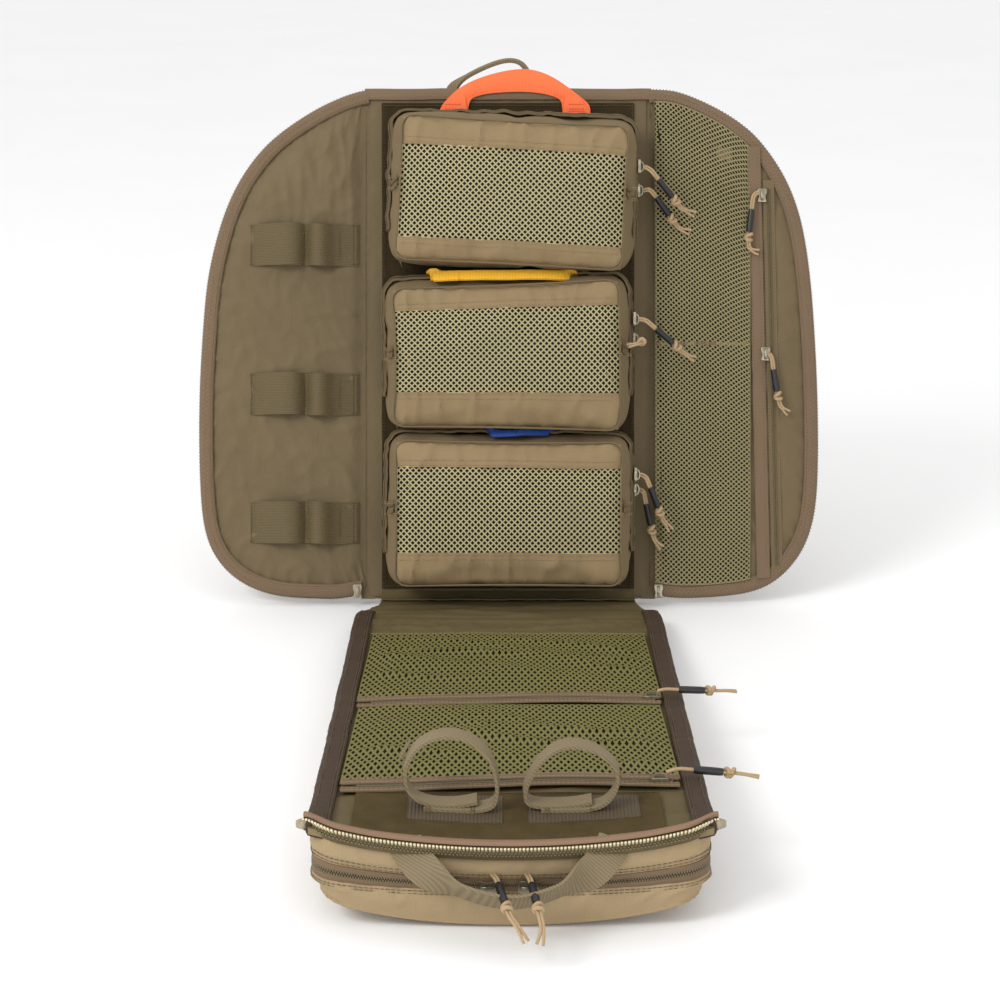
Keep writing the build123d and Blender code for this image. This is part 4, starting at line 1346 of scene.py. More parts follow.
def put_slider(name, node, body, frame_of, spot, along, up, material=None):
    """Slider at a place in its panel's frame, which stands for its CAD node."""
    piece = slider_shape()
    place(piece, basis(Vector(spot), Vector(along), Vector(up)))
    seat(piece, frame_of, name, body, material or NICKEL, "slider_metal",
        stands_for=(node,) if node else (), smooth=40)
    return piece


wing_pocket()
put_slider("upper_wing_slider", "wing_slider_upper", "wing_slider_upper", PANEL, (243.6, -3.2, 385),
    (0.03, 0, 1), (0, -1, 0))
put_slider("lower_wing_slider", "wing_slider_lower", "wing_slider_lower", PANEL, (246.9, -3.2, 233),
    (0.03, 0, 1), (0, -1, 0))
for side, sign in (("left", -1), ("right", 1)):
    main = put_slider("main_zip_slider_" + side, "main_slider_" + side, "main_slider_" + side, PANEL,
        (sign * 144.4, -1.8, 5.5), (0, 0, 1), (0, -1, 0), PALE_METAL if side == "left" else NICKEL)


# ---- back panel, inside --------------------------------------------------------------------
def panel_inside():
    """Nylon lining, the field of loop pile and the binding over the top edge."""
    lining = grid(-132.6, 132.6, 1, 481, 4)
    reshape(lining, lambda x, y, z: (x, y, -0.9 + 0.8 * creases(x, y, 101, 26, (1, 2)) * min(1,
        abs(abs(x) - 134) / 6) + 0.3 * fold_noise(x, y, 103, 30)))
    thicken(lining, 1.2, -1)
    only(lining)
    seat(lining, ON_PANEL, "panel_nylon", "back_panel", LINING, "lining_nylon",
        stands_for=("panel_lining",), smooth=80)
    field = grid(-121, 121, 8, 474, 4)
    reshape(field, lambda x, y, z: (x + 0.5 * fold_noise(0, y, 105, 40), y,
        1.5 + 0.35 * fold_noise(x, y, 107, 45)))
    thicken(field, 1.6, -1)
    only(field)
    seat(field, ON_PANEL, "loop_pile_field", "back_panel", LOOP_PILE, "loop_fabric",
        stands_for=("loop_field",), smooth=80)
    rows = []
    for x in (-118.8, 118.8):
        for shift in (-0.9, 0.9):
            rows.append(stitches([Vector((x + shift, y, 2.0)) for y in np.linspace(9, 473, 60)], UP,
                pitch=3.2, length=2.5))
    for y in (10.5, 471.5):
        rows.append(stitches([Vector((x, y, 2.0)) for x in np.linspace(-120, 120, 40)], UP, pitch=3.2,
            length=2.5))
    sewing = join(rows)
    seat(sewing, ON_PANEL, "field_stitching", "back_panel", THREAD, "binding")
    line = [Vector((x, 482.5 + 0.5 * fold_noise(x, 0, 111, 30), 0)) for x in np.linspace(-137.4, 137.4, 80)]
    section = [(-5.5, 1.0), (-5.2, 1.9), (0.5, 2.1), (4.6, 1.3), (5.9, -1.5), (6.1, -7), (5.6, -12.5),
        (4, -14.4), (-5.2, -14.4), (-5.5, -13.5)]
    rings = [[p + Vector((0, a, b)) for a, b in section] for p in line]
    binding = bands(rings)
    seat(binding, ON_PANEL, "top_edge_binding", "back_panel", TAPE, "binding", stands_for=("top_binding",))
    rows = []
    for y in (478.4, 480.4):
        rows.append(stitches([Vector((x, y, 2.0)) for x in np.linspace(-132, 132, 60)], UP, pitch=3.3,
            length=2.5, width=0.5))
    sewing = join(rows)
    seat(sewing, ON_PANEL, "top_edge_stitching", "back_panel", THREAD_PALE, "binding")


panel_inside()


# ---- pouches ----------------------------------------------------------------------------------
def rounded_ring(cx, cy, half_w, half_h, corner, z, count=120, sag=0.0, wob=0.0, seed=0):
    """Closed ring of points on a rounded rectangle whose sides pull in a little."""
    spots = []
    straight_w, straight_h = 2 * (half_w - corner), 2 * (half_h - corner)
    arc = math.pi * corner / 2
    total = 2 * (straight_w + straight_h) + 4 * arc
    for k in range(count):
        t = total * k / count
        found = None
        for x0, y0, dx, dy, length, turn in (
            (-half_w + corner, -half_h, 1, 0, straight_w, None),
            (half_w - corner, -half_h + corner, 0, 0, arc, -90),
            (half_w, -half_h + corner, 0, 1, straight_h, None),
            (half_w - corner, half_h - corner, 0, 0, arc, 0),
            (half_w - corner, half_h, -1, 0, straight_w, None),
            (-half_w + corner, half_h - corner, 0, 0, arc, 90),
            (-half_w, half_h - corner, 0, -1, straight_h, None),
            (-half_w + corner, -half_h + corner, 0, 0, arc, 180),
        ):
            if t <= length:
                if turn is None:
                    inward_by = sag * math.sin(math.pi * t / max(length, 1e-6))
                    found = (x0 + dx * t - abs(dy) * dy * inward_by, y0 + dy * t + abs(dx) * dx * inward_by)
                else:
                    a = math.radians(turn + 90 * t / arc)
                    found = (x0 + corner * math.cos(a), y0 + corner * math.sin(a))
                break
            t -= length
        x, y = found or (-half_w + corner, -half_h)
        push = wob * fold_noise(cx + x * 2, cy + y * 2, seed + z * 0.05, 17)
        size = math.hypot(x, y)
        spots.append(Vector((cx + x + push * x / size, cy + y + push * y / size, z)))
    return spots


def crown(x, y, cx, cy, seed):
    """Height of a pouch's front above its seam: full in the middle, drawn in at its seams."""
    a = min(1, abs(x - cx) / 106)
    b = min(1, abs(y - cy) / 67)
    full = (1 - a ** 2.6) * (1 - b ** 2.4)
    return 2.6 * full + 2.2 * creases(x + 0.5 * y, y, seed, 44,
        (1.0, 1.5)) * full ** 0.5 + 1.0 * fold_noise(x, y, seed + 3, 24)


TILT = {"top": (0.052, 0.055), "middle": (0.018, -0.048), "bottom": (0.0, 0.012)}
WINDOW = {"top": (-53, 33), "middle": (-41, 38), "bottom": (-43.5, 36)}


def leaning(name):
    """Front of a pouch turned a little about its middle, its back kept square."""
    cx, cy = POUCHES[name]

    def move(x, y, z):
        low, high = TILT[name]
        w = (low + (high - low) * (y - cy + 73) / 146) * ease_in(8, 56, z)
        return x + w * (y - cy), y - w * (x - cx), z

    return move


def pouch(name):
    """Soft pouch: filled body, piped front, net window in stitched bands, tabs and zip."""
    cx, cy = POUCHES[name]
    seed = {"top": 201, "middle": 211, "bottom": 221}[name]
    body = name + "_pouch"
    fy = cy - 7.0
    rings = []
    for z, half_w, half_h, corner, sag in (
        (5.5, 107, 64, 12, 1.5), (7, 110, 67, 14, 1.5), (14, 114.0, 70, 16, 0.5),
        (24, 116.2, 71.6, 17, -0.6), (34, 116.4, 71.8, 17, -0.8),
        (43, 115.2, 71.4, 16, -0.3), (50, 112.2, 70.2, 14, 0.4), (55, 108.6, 68.6, 12, 0.8),
        (57.5, 106.4, 67.6, 11, 1.0),
    ):
        rings.append(rounded_ring(cx, cy - 7 * ease_in(22, 55, z), half_w, half_h, corner, z, 132, sag,
            2.0 if 8 < z < 54 else 0.4, seed))
    for a in (0.97, 0.9, 0.8, 0.68, 0.55, 0.42, 0.3, 0.18, 0.08):
        ring = rounded_ring(cx, fy, 105.8 * a, 67.2 * a, 11 * a, 0, 132, 1.0 * a)
        rings.append([Vector((p.x, p.y, 57.4 + crown(p.x, p.y, cx, fy, seed))) for p in ring])
    soft = bands(rings)
    puff(soft, cap=3.2, pressure=3.0, voxel=4.5)
    reshape(soft, lambda x, y, z: (x, y, z + (0.5 * creases(x, y, seed + 5, 22, (1, 1.4)) if z > 52 else 0)))
    front = [soft]

    low, high = WINDOW[name]
    x0, x1, y0, y1 = cx - 105, cx + 105, cy + low - 0.8, cy + high + 0.8
    pieces = {}
    mesh = net(x0, x1, y0, y1, 5.6, 5.6, strand=0.6)
    reshape(mesh, lambda x, y, z: (x, y + 0.8 * fold_noise(x, 0, seed + 9, 60),
        z + 0.8 + 0.6 * fold_noise(x, y, seed + 11, 34)))
    drape_on(mesh, front, 0.35)
    pieces["net"] = (mesh, NET, "mesh", (name + "_pouch_window",))
    # Dark sheet under the net window: painted shade of the pouch's inside seen through the holes.
    back = grid(x0, x1, y0, y1, 5)
    drape_on(back, front, 0.45)
    pieces["window_backing"] = (back, NET_HOLE_SHADE, "mesh", ())
    strips = []
    for y_low, y_high, lift in ((cy + high, fy + 66.4, 1.5), (fy - 66.4, cy + low, 1.5)):
        strip = grid(cx - 105.2, cx + 105.2, y_low, y_high, 3.0)
        reshape(strip, lambda x, y, z: (x, y + 0.7 * fold_noise(x, 3, seed + 13, 50),
            z + 3.0 * creases(x, y, seed + 15, 17, (1.0, 3.0))
            + 0.8 * fold_noise(x, y, seed + 16, 9, (1, 3))))
        drape_on(strip, front, lift)
        thicken(strip, 1.1, -1)
        strips.append(strip)
    pieces["front_bands"] = (join(strips), PACK_CLOTH, "pack_cloth", ())

    ring = rounded_ring(cx, fy, 106.2, 67.6, 11, 58.2, 160, 1.0)
    ring = [Vector((p.x, p.y, 58.6 + 0.5 * fold_noise(p.x, p.y, seed + 17, 30))) for p in ring]
    outs = [Vector((p.x - cx, (p.y - fy) * 1.6, 0)).normalized() for p in ring]
    ups = [UP] * len(ring)
    piping = sweep(ring, outs, ups, [(1.05 * math.cos(a), 1.05 * math.sin(a))
        for a in [k * math.pi / 4 for k in range(8)]], closed=True)
    # Piping in the darker copy of the pack cloth: painted shade of the seam fold.
    pieces["piping"] = (piping, PACK_CLOTH_SEAM_SHADE, "pack_cloth", ())

    path = rounded_ring(cx, cy - 1, 116.9, 72.4, 18, 31, 200, -0.6, 2.0, seed)
    keep = [p for p in path if p.y > cy - 44]
    start = max(range(len(keep)), key=lambda i: (keep[i] - keep[i - 1]).length)
    run = keep[start:] + keep[:start]
    outs = [outward(way_at(run, i), p, Vector((cx, cy, 31))) for i, p in enumerate(run)]
    ups = [UP] * len(run)
    tape = sweep(run, outs, ups, [(-2.4, -8), (-0.3, -8), (0.4, -4), (0.4, 4), (-0.3, 8), (-2.4, 8)])
    coil = coil_zip([p + o * 1.1 for p, o in zip(run, outs)],
        lambda p: Vector((p.x - cx, (p.y - cy) * 1.4, 0)).normalized(), pitch=1.6, width=4.4)
    pieces["zip_tape"] = (tape, ZIP_TAPE, "zip_coil", ())
    pieces["zip_coil"] = (coil, COIL, "zip_coil", ())

    tabs = []
    for side in (-1, 1):
        for k in (-3.2, 3.2):
            run = [Vector((cx + side * (108.5 + 8.3 * math.sin(t * 1.5)), cy + k + side * 0.6 - 3 * t,
                56.5 - 33 * t)) for t in np.linspace(0, 0.9, 16)]
            tabs.append(stitches(run, Vector((side * 0.8, 0, 0.6)), pitch=2.9, length=2.2, width=0.6))
            ridge = [p - Vector((side * 0.4, 0, 0.5)) for p in run]
            tabs.append(sweep(ridge, [Vector((0, 1, 0))] * 16, [Vector((side * 0.8, 0, 0.6))] * 16,
                [(-2.4, 0), (-1, 0.8), (1, 0.8), (2.4, 0), (0, -0.6)]))
    # Seam ridges in the darker copy of the pack cloth: painted shade of the folds.
    pieces["side_seams"] = (join(tabs), PACK_CLOTH_SEAM_SHADE, "pack_cloth", ())

    seams = []
    for y_at in (cy + high + 2, cy + high + 6.5, cy + low - 2, cy + low - 6.5):
        run = [Vector((x, y_at + 0.7 * fold_noise(x, 3, seed + 13, 50), 0))
            for x in np.linspace(cx - 101, cx + 101, 90)]
        seams.append(run)
    rows = []
    for run in seams:
        flat = ribbon(run, [Vector((0, 1, 0))] * len(run), 0.2, 0.1)
        drape_on(flat, [pieces["front_bands"][0]], 0.05)
        heights = [v.co.copy() for v in flat.data.vertices][::8]
        bpy.data.objects.remove(flat)
        rows.append(stitches([Vector((p.x, p.y, h.z)) for p, h in zip(run, heights)], UP, pitch=3.1,
            length=2.35, width=0.55, start=0.4))
    for side in (-1, 1):
        for x_shift in (-4.5, 4.5):
            for y_shift in (-6, -4.4, 4.4, 6):
                x_at = cx + side * 109 + x_shift
                z_at = 57.3 - max(0.0, abs(x_at - cx) - 104.5) * 0.9 + 2.2
                run = [Vector((x_at + d, cy - 2 + y_shift + side * 0.6, z_at)) for d in (-2.6, 0, 2.6)]
                rows.append(stitches(run, UP, pitch=2.2, length=1.8, width=0.55, start=0.1))
    pieces["stitching"] = (join(rows), THREAD_PALE, "binding", ())

    hook = grid(cx - 90, cx + 90, cy - 37, cy + 43, 5)
    thicken(hook, 2.6, 0)
    reshape(hook, lambda x, y, z: (x, y, z + 3.5))
    pieces["hook_patch"] = (hook, LOOP_PILE, "loop_fabric", ())

    for key, (piece, material, slot_name, nodes) in pieces.items():
        only(piece)
        reshape(piece, leaning(name))
        seat(piece, ON_PANEL, "%s_pouch_%s" % (name, key), body, material, slot_name, nodes)
    only(soft)
    reshape(soft, leaning(name))
    # The pouch body takes the darker copy of the pack cloth: painted shade on its sides.
    seat(soft, ON_PANEL, name + "_pouch_body", body, PACK_CLOTH_SIDE_SHADE, "pack_cloth", (name + "_pouch",),
        smooth=80)
    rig.padded(soft, fill=0.7)


for pouch_name in POUCHES:
    pouch(pouch_name)


# ---- pouch handles ---------------------------------------------------------------------------
def tucked_handle(name, body, material, slot_name, node, down, left, right, width):
    """Flat webbing handle lying in the gap above its pouch, its ends sewn to the back."""
    dots = [(left + 9, 303, 5), (left + 5, 307, 14), (left + 2, 308, 26), (left, 306.8, 38),
        (left + 3, 304.2, 46.5), (left + 24, 303.8, 49.5),
            ((left + right) / 2, 305, 49.5), (right - 22, 304.6, 47), (right - 6, 304.6, 43),
            (right, 306.5, 34), (right - 2, 307.5, 24), (right - 7, 306.5, 13), (right - 10, 303, 5)]
    line = smooth_line(dots, 101)
    points, wide = [], []
    for i, (x, y, z) in enumerate(line):
        root = 1 - ease_in(30, 47, z)
        sign = -1 if i < 50 else 1
        points.append(Vector((x, y - down + 0.6 * fold_noise(x, z, 301, 22), z)))
        wide.append(Vector((sign * root, 0.68 * (1 - root), -0.72 * (1 - root))))
    strap = ribbon(points, wide, width, 1.9)
    end = ribbon([Vector((left + 2 + k * 2.6, 302.6 - down + 0.12 * k, 49.6 + 0.12 * k))
        for k in range(10)], [Vector((0, 0.68, -0.72))] * 10, width - 1, 1.9)
    strap = join([strap, end])
    seat(strap, ON_PANEL, name, body, material, slot_name, (node,))


def orange_handle():
    """Wide grab handle: webbing on edge over the top, its ends folded flat."""
    outer = [(-66, 463), (-65, 470), (-56, 480), (-43, 491), (-22, 500), (2, 505.5), (22, 507), (42, 499.5),
        (57, 489), (70, 479), (79, 472), (79, 463)]
    inner = [(-39, 463), (-38, 469), (-37, 476), (-33, 479.5), (-20, 483), (2, 484.5), (22, 484.5),
        (38, 482), (48, 478.5), (51.5, 475), (52, 469), (52.5, 463)]
    a, b = smooth_line(outer, 101), smooth_line(inner, 101)
    rings = []
    for k in range(11):
        t = k / 10
        row = []
        for (xo, yo), (xi, yi) in zip(a, b):
            x, y = xo * (1 - t) + xi * t, yo * (1 - t) + yi * t
            top = ease_in(466, 486, y)
            row.append(Vector((x, y, 3.4 + 1.2 * math.sin(math.pi * t) * top
                + 0.7 * fold_noise(x, y, 301, 24) * top)))
        rings.append(row)
    strap = bands(rings, closed=False, cap=False)
    folds = []
    for x0, x1, lean in ((-66, -38.5, 0.85), (52, 79.5, -0.85)):
        fold = grid(x0, x1, 463, 481, 1.5)

        def trim(x, y, z, x0=x0, x1=x1, lean=lean):
            t = (y - 463) / 18
            if lean > 0:
                x = x0 + (x - x0) * (1 - 0.55 * t) + 12 * t
            else:
                x = x1 - (x1 - x) * (1 - 0.55 * t) - 12 * t
            return x, y, 5.2 + 0.4 * math.sin(t * 3)

        folds.append(reshape(fold, trim))
    strap = join([strap] + folds)
    thicken(strap, 1.7, 0)
    only(strap)
    seat(strap, ON_PANEL, "orange_grab_handle", "top_pouch_handle", ORANGE, "orange_webbing",
        ("top_pouch_handle",))
    rows = []
    for x_at in (-52, 66):
        for y in (465.5, 467.5, 472):
            rows.append(stitches([Vector((x_at + k * 2, y, 6.4)) for k in range(-4, 5)], UP, pitch=2.6,
                length=2.0, width=0.5))
    sewing = join(rows)
    seat(sewing, ON_PANEL, "orange_handle_stitches", "top_pouch_handle", ORANGE_THREAD, "orange_webbing")


orange_handle()
tucked_handle("yellow_pouch_handle", "middle_pouch", YELLOW, "yellow_webbing", "middle_pouch_handle", 0,
    -72, 62, 13)
tucked_handle("blue_pouch_handle", "bottom_pouch", BLUE, "blue_webbing", "bottom_pouch_handle", 148.3, -18,
    42, 7.5)
for group, spots in {
    "top_pouch_sliders": ((122.6, -37, 408), (122.6, -25, 387)),
    "middle_pouch_sliders": ((118.1, -37, 264), (118.1, -25, 246)),
    "bottom_pouch_sliders": ((119.0, -37, 117), (119.0, -25, 103)),
}.items():
    pair = []
    for n, (x, y, z) in enumerate(spots):
        one = slider_shape()
        place(one, basis(Vector((x, y, z)), Vector((0, 0, 1 if n else -1)), Vector((1, 0, 0))))
        pair.append(one)
    both = join(pair)
    seat(both, PANEL, group.replace("sliders", "zip_sliders"), group, NICKEL, "slider_metal",
        stands_for=(group,), smooth=40)


# ---- front flap ---------------------------------------------------------------------------
FOLD_AT = Vector((0, -155, -4)), Vector((0, -179, -4))


def hinge_blend(obj):
    """Bend a piece between the bag's bottom and its front panel."""
    start, end = (FLAP @ p for p in FOLD_AT)
    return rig.blend(obj, "base_panel", "front_panel", start, end)


def bow(x, y, z):
    """Soft end of the flap: its middle hangs forward and down."""
    w = ease_in(585, 676, -y) * max(0.0, 1 - (x / 142) ** 2)
    share = ease_in(-72, -6, z)
    return x, y - 9.5 * w * share, z - 12.5 * w * share + 2.0 * ease_in(590, 676, -y) * ease_in(90, 142,
        abs(x)) * share


def flap_half(y):
    """Half width of the flap at this distance from the fold."""
    s = -y
    return 122 + 20 * ease_in(22, 78, s) + 0.9 * fold_noise(s, 0, 401, 60)


def flap_swell(x, y):
    """Lie of the flap's lining above its plane."""
    lie = 1.4 * fold_noise(x, y, 403, 80, (1.4, 1.0)) + 1.2 * creases(x, y, 405, 42, (2.6, 1.0))
    edge = min(1.0, max(0.0, (flap_half(y) - abs(x)) / 22))
    return lie * edge


def flap_panels():
    """Outer shell, nylon lining and bindings of the bag's bottom and front."""
    def widen(x, y, z):
        return x * (flap_half(y) - 0.5) / 140, y, z

    shell = grid(-140, 140, -674, -3, 5)
    reshape(shell, widen)
    reshape(shell, lambda x, y, z: (x, y, -7.2 + 0.5 * fold_noise(x, y, 407, 40)))
    thicken(shell, 4.5, 1)
    reshape(shell, bow)
    seat(shell, FLAP, "flap_outer_shell", None, SHELL, "pack_cloth",
        stands_for=("base_panel", "front_panel"), smooth=80)
    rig.padded(shell, fill=0.4)
    hinge_blend(shell)

    lining = grid(-140, 140, -673, -2, 3.4)
    reshape(lining, widen)

    def gathers(x, y, z):
        s = -y
        slack = ease_in(6, 40, s) * (1 - ease_in(120, 148, s))
        folds = 2.3 * slack * creases(x * 0.5 + 12 * math.sin(s / 21), y, 409, 12, (5.0, 1.4))
        folds += 2.4 * slack * creases(x + 0.4 * y, y, 411, 10, (1.0, 3.5)) * ease_in(60, 130, s)
        return x, y, -1.6 + flap_swell(x, y) * (1 - slack * 0.5) * ease_in(4, 30, s) + folds

    reshape(lining, gathers)
    thicken(lining, 0.9, -1)
    reshape(lining, bow)
    seat(lining, FLAP, "flap_lining", None, LINING_FLAP, "lining_nylon", smooth=80)
    hinge_blend(lining)

    strips, sewn = [], []
    for sign in (-1, 1):
        spots = [-s for s in np.linspace(66, 672, 150)]
        line = [Vector((sign * (flap_half(y) + 0.8), y, 0)) for y in spots]
        outs = [Vector((sign, 0, 0))] * len(line)
        ups = [UP] * len(line)
        section = [(-17, 0.6), (-16.6, 2.4), (-11, 2.9), (-5, 3.0), (-1.2, 2.0), (0.2, -0.6), (0.3, -6.0),
            (-1.0, -8.6), (-6, -9.0), (-14, -8.8), (-14, -7.6), (-3, -6.6), (-3, -0.2)]
        rings = []
        for i, (p, o, u) in enumerate(zip(line, outs, ups)):
            w = 0.9 * fold_noise(i * 4.0, sign, 413, 12) + 1.1 * creases(i * 4.0, sign * 3, 415, 9, (1, 1))
            rings.append([p + o * (a + w * 0.3) + u * (b + (w if b > 0 else -w * 0.2)) for a, b in section])
        strips.append(bands(rings))
        for shift in (-15.2, -13.2, -4.0):
            run = [p + Vector((sign * shift, 0, 3.2)) for p in line]
            sewn.append(stitches(run, UP, pitch=4.0, length=3.0, width=0.6))
    # The side bindings take the dark copy of the tape: painted shade.
    for pieces, name, material, nodes in ((strips, "flap_side_binding", TAPE_SHADE, ("flap_side_bindings",)),
        (sewn, "flap_side_stitching", THREAD, ())):
        piece = join(pieces)
        reshape(piece, bow)
        seat(piece, FLAP, name, None, material, "binding", stands_for=nodes)
        hinge_blend(piece)

    corner = grid(-121, 121, -10, 10, 3.5)
    reshape(corner, lambda x, y, z: (x, y * 0.9, 0))
    thicken(corner, 1.2, 0)
    reshape(corner, lambda x, y, z: (x, -7.5 + y * 0.75,
        0.6 + (y + 9) ** 2 * 0.014 + z + 0.7 * creases(x, y, 417, 14, (1, 2))))
    seat(corner, FLAP, "bottom_fold_strip", None, LINING_FLAP, "lining_nylon", smooth=80)
    start, end = FLAP @ Vector((0, 2, 3)), FLAP @ Vector((0, -8, 0))
    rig.blend(corner, "back_panel", "base_panel", start, end)


flap_panels()


def zip_across(x, at, lean):
    """Place of a pocket's zip at this distance across: it bows and leans."""
    slack = 15 * ease_in(-70, 125, -x) + 2.5 * fold_noise(x, at, 421, 60)
    return -at + 4.0 * math.sin((x + 123) / 246 * math.pi) + lean * x / 123 - slack * ease_in(-110, -60, -x)


def net_pocket(name, first, zip_at, lean, lift, pitch):
    """Net pocket of the flap with its tape, coil zip and stitches."""
    x_edge = 123.5
    panel = net(-x_edge, x_edge, 0, 100, *pitch, strand=0.85)

    def lie(x, y):
        full = math.sin(math.pi * min(1, max(0, (first - y) / (first + zip_at)))) ** 0.6
        side = min(1.0, max(0.0, (x_edge - abs(x)) / 25))
        folds = 3.4 * creases(x * 0.7 + y * 0.9, y, 423 + zip_at, 44, (1.8, 1.0)) + 2.0 * fold_noise(x, y,
            425 + zip_at, 36, (1.6, 1))
        return lift + full * side * (2.6 + folds)

    def onto(x, t, z):
        top = first + 2.0 * fold_noise(x, 0, 427, 50)
        y = top + (zip_across(x, zip_at, lean) + 9 - top) * t / 100
        return x * (1 + 0.012 * (t - 50) / 50), y, z + max(lie(x, y), flap_swell(x, y) + 0.6)

    reshape(panel, onto)
    # Dark sheet under the net: painted shade of the pocket's inside seen through the holes.
    back = grid(-x_edge, x_edge, 0, 100, 3)
    reshape(back, onto)
    reshape(back, lambda x, y, z: (x, y, z - 1.2))
    thicken(back, 0.4, -1)
    ways = [Vector((0, 1, 0))]
    runs = np.linspace(-x_edge, x_edge, 120)
    tape = ribbon([Vector((x, zip_across(x, zip_at, lean) + 7.2,
        3.6 + 0.5 * fold_noise(x, zip_at, 429, 25))) for x in runs], ways * 120, 9.5, 1.4)
    low = ribbon([Vector((x, zip_across(x, zip_at, lean) - 6.2, 2.2)) for x in runs], ways * 120, 7.0, 1.0)
    cloth = ribbon([Vector((x, zip_across(x, zip_at, lean), 1.6)) for x in runs], ways * 120, 9.0, 1.0)
    coil = coil_zip([Vector((x, zip_across(x, zip_at, lean) - 0.6, 2.9))
        for x in np.linspace(-112, 119, 120)], UP, pitch=1.7, width=5.0, tall=1.8)
    rows = []
    for shift, height in ((10.8, 4.6), (3.9, 4.5), (-8.6, 3.0), (-4.2, 3.0)):
        rows.append(stitches([Vector((x, zip_across(x, zip_at, lean) + shift, height)) for x in runs], UP,
            pitch=3.6, length=2.7, width=0.6))
    if name == "far":
        rows.append(stitches([Vector((x, first - 2 + 2.0 * fold_noise(x, 0, 427, 50), 2.2)) for x in runs],
            UP, pitch=3.6, length=2.7, width=0.6))
    sewing = join(rows)
    stays = [
        (panel, "net", NET_FLAP, "mesh", (name + "_mesh_pocket",)), (back, "backing", NET_HOLE_SHADE, "mesh", ()),
        (join([tape, low]), "tape", TAPE, "binding", ("flap_pocket_zips",) if name == "far" else ()),
        (cloth, "zip_cloth", LINING_FLAP, "zip_coil", ()),
        (coil, "zip_coil", COIL, "zip_coil", ()), (sewing, "stitching", THREAD_PALE, "binding", ()),
    ]
    for piece, part, material, slot_name, nodes in stays:
        only(piece)
        reshape(piece, bow)
        place(piece, FLAP)
        body = None if name == "far" else "front_panel"
        dress(piece, "%s_pocket_%s" % (name, part), body, material, slot_name, nodes, smooth=80)
        if name == "far":
            hinge_blend(piece)


net_pocket("far", -146.0, 362.0, -3.0, 1.5, (5.4, 7.0))
net_pocket("near", -375.0, 579.0, -1.5, 1.5, (5.4, 7.0))
put_slider("far_zip_slider", "far_pocket_slider", "far_pocket_slider", FLAP, (116, -361.5, 3.2), (-1, 0, 0),
    (0, 0, 1))
put_slider("near_zip_slider", "near_pocket_slider", "near_pocket_slider", FLAP, (109, -579, 3.2),
    (-1, 0, 0), (0, 0, 1))


def flap_end():
    """Loop patch, ribbed band and the two standing loops at the flap's end."""
    patch = grid(-112, 108, -668, -598, 3.5)
    reshape(patch, lambda x, y, z: (x, y, 1.3 + flap_swell(x, y) * 0.5 + 0.4 * fold_noise(x, y, 431, 20)))
    thicken(patch, 1.2, -1)
    ribs = []
    for x0, x1 in ((-74, -6), (12, 92)):
        rib = grid(x0, x1, -640, -606, 2.5)
        reshape(rib, lambda x, y, z: (x, y, 2.4 + 0.5 * math.sin((y + 606) / 34 * math.pi)))
        thicken(rib, 1.4, -1)
        ribs.append(rib)
    for piece, name, material, slot_name, nodes in (
        (patch, "flap_loop_patch", LOOP_PILE_PALE, "loop_fabric", ()),
        (join(ribs), "flap_ribbed_band", ELASTIC_DARK, "elastic", ("loop_band",)),
    ):
        only(piece)
        reshape(piece, bow)
        seat(piece, FLAP, name, "front_panel", material, slot_name, nodes, smooth=80)
    straps, sewn = [], []
    for cx, dots in (
        (-43, [(-62, 3.4), (-40, 3.0), (-22, 3.2), (-12, 6), (-9, 14), (-10, 30), (-16, 45), (-28, 55),
        (-43, 58.5), (-58, 55), (-69, 46), (-75, 34), (-76, 22), (-72, 12), (-62, 6.2), (-48, 4.6),
        (-36, 5.4), (-24, 8.2)]),
        (42, [(22, 3.2), (44, 3.0), (60, 3.4), (70, 8), (76, 18), (77, 28), (72, 38), (60, 47), (45, 51),
        (33, 49), (22, 40), (14, 28), (9.5, 16), (10.5, 8), (18, 5.2), (30, 4.4), (46, 4.8), (58, 7.4)]),
    ):
        line = smooth_line(dots, 130)
        points = [Vector((x, -622 - 1.5 * math.sin(i / 130 * 5), z)) for i, (x, z) in enumerate(line)]
        wide = [Vector((0.06 * math.sin(i / 18), 1, 0.05)) for i in range(len(points))]
        straps.append(ribbon(points, wide, 12.0, 2.2))
    straps.append(ribbon([Vector((-79 + k * 0.9, -612 + k * 0.2, 33 + k * 1.7)) for k in range(8)],
        [Vector((0.2, 1, 0))] * 8, 11, 1.8))
    straps.append(ribbon([Vector((78.5 - k * 0.8, -616 + k * 0.3, 22 + k * 1.7)) for k in range(8)],
        [Vector((-0.2, 1, 0))] * 8, 11, 1.8))
    loops = join(straps)
    reshape(loops, bow)
    seat(loops, FLAP, "standing_webbing_loops", "front_panel", WEBBING_FLAP, "webbing", ("webbing_loops",))
    for cx in (-43, 42):
        for x in (-17, -15, 15, 17):
            run = [Vector((cx + x, -612 - k, 4.6)) for k in range(21)]
            sewn.append(stitches(run, UP, pitch=2.6, length=2.0, width=0.6))
    for y in (-600, -666):
        sewn.append(stitches([Vector((x, y, 1.9)) for x in np.linspace(-110, 106, 50)], UP, pitch=3.6,
            length=2.7, width=0.6))
    sewing = join(sewn)
    reshape(sewing, bow)
    seat(sewing, FLAP, "flap_end_stitching", "front_panel", THREAD, "binding")


flap_end()


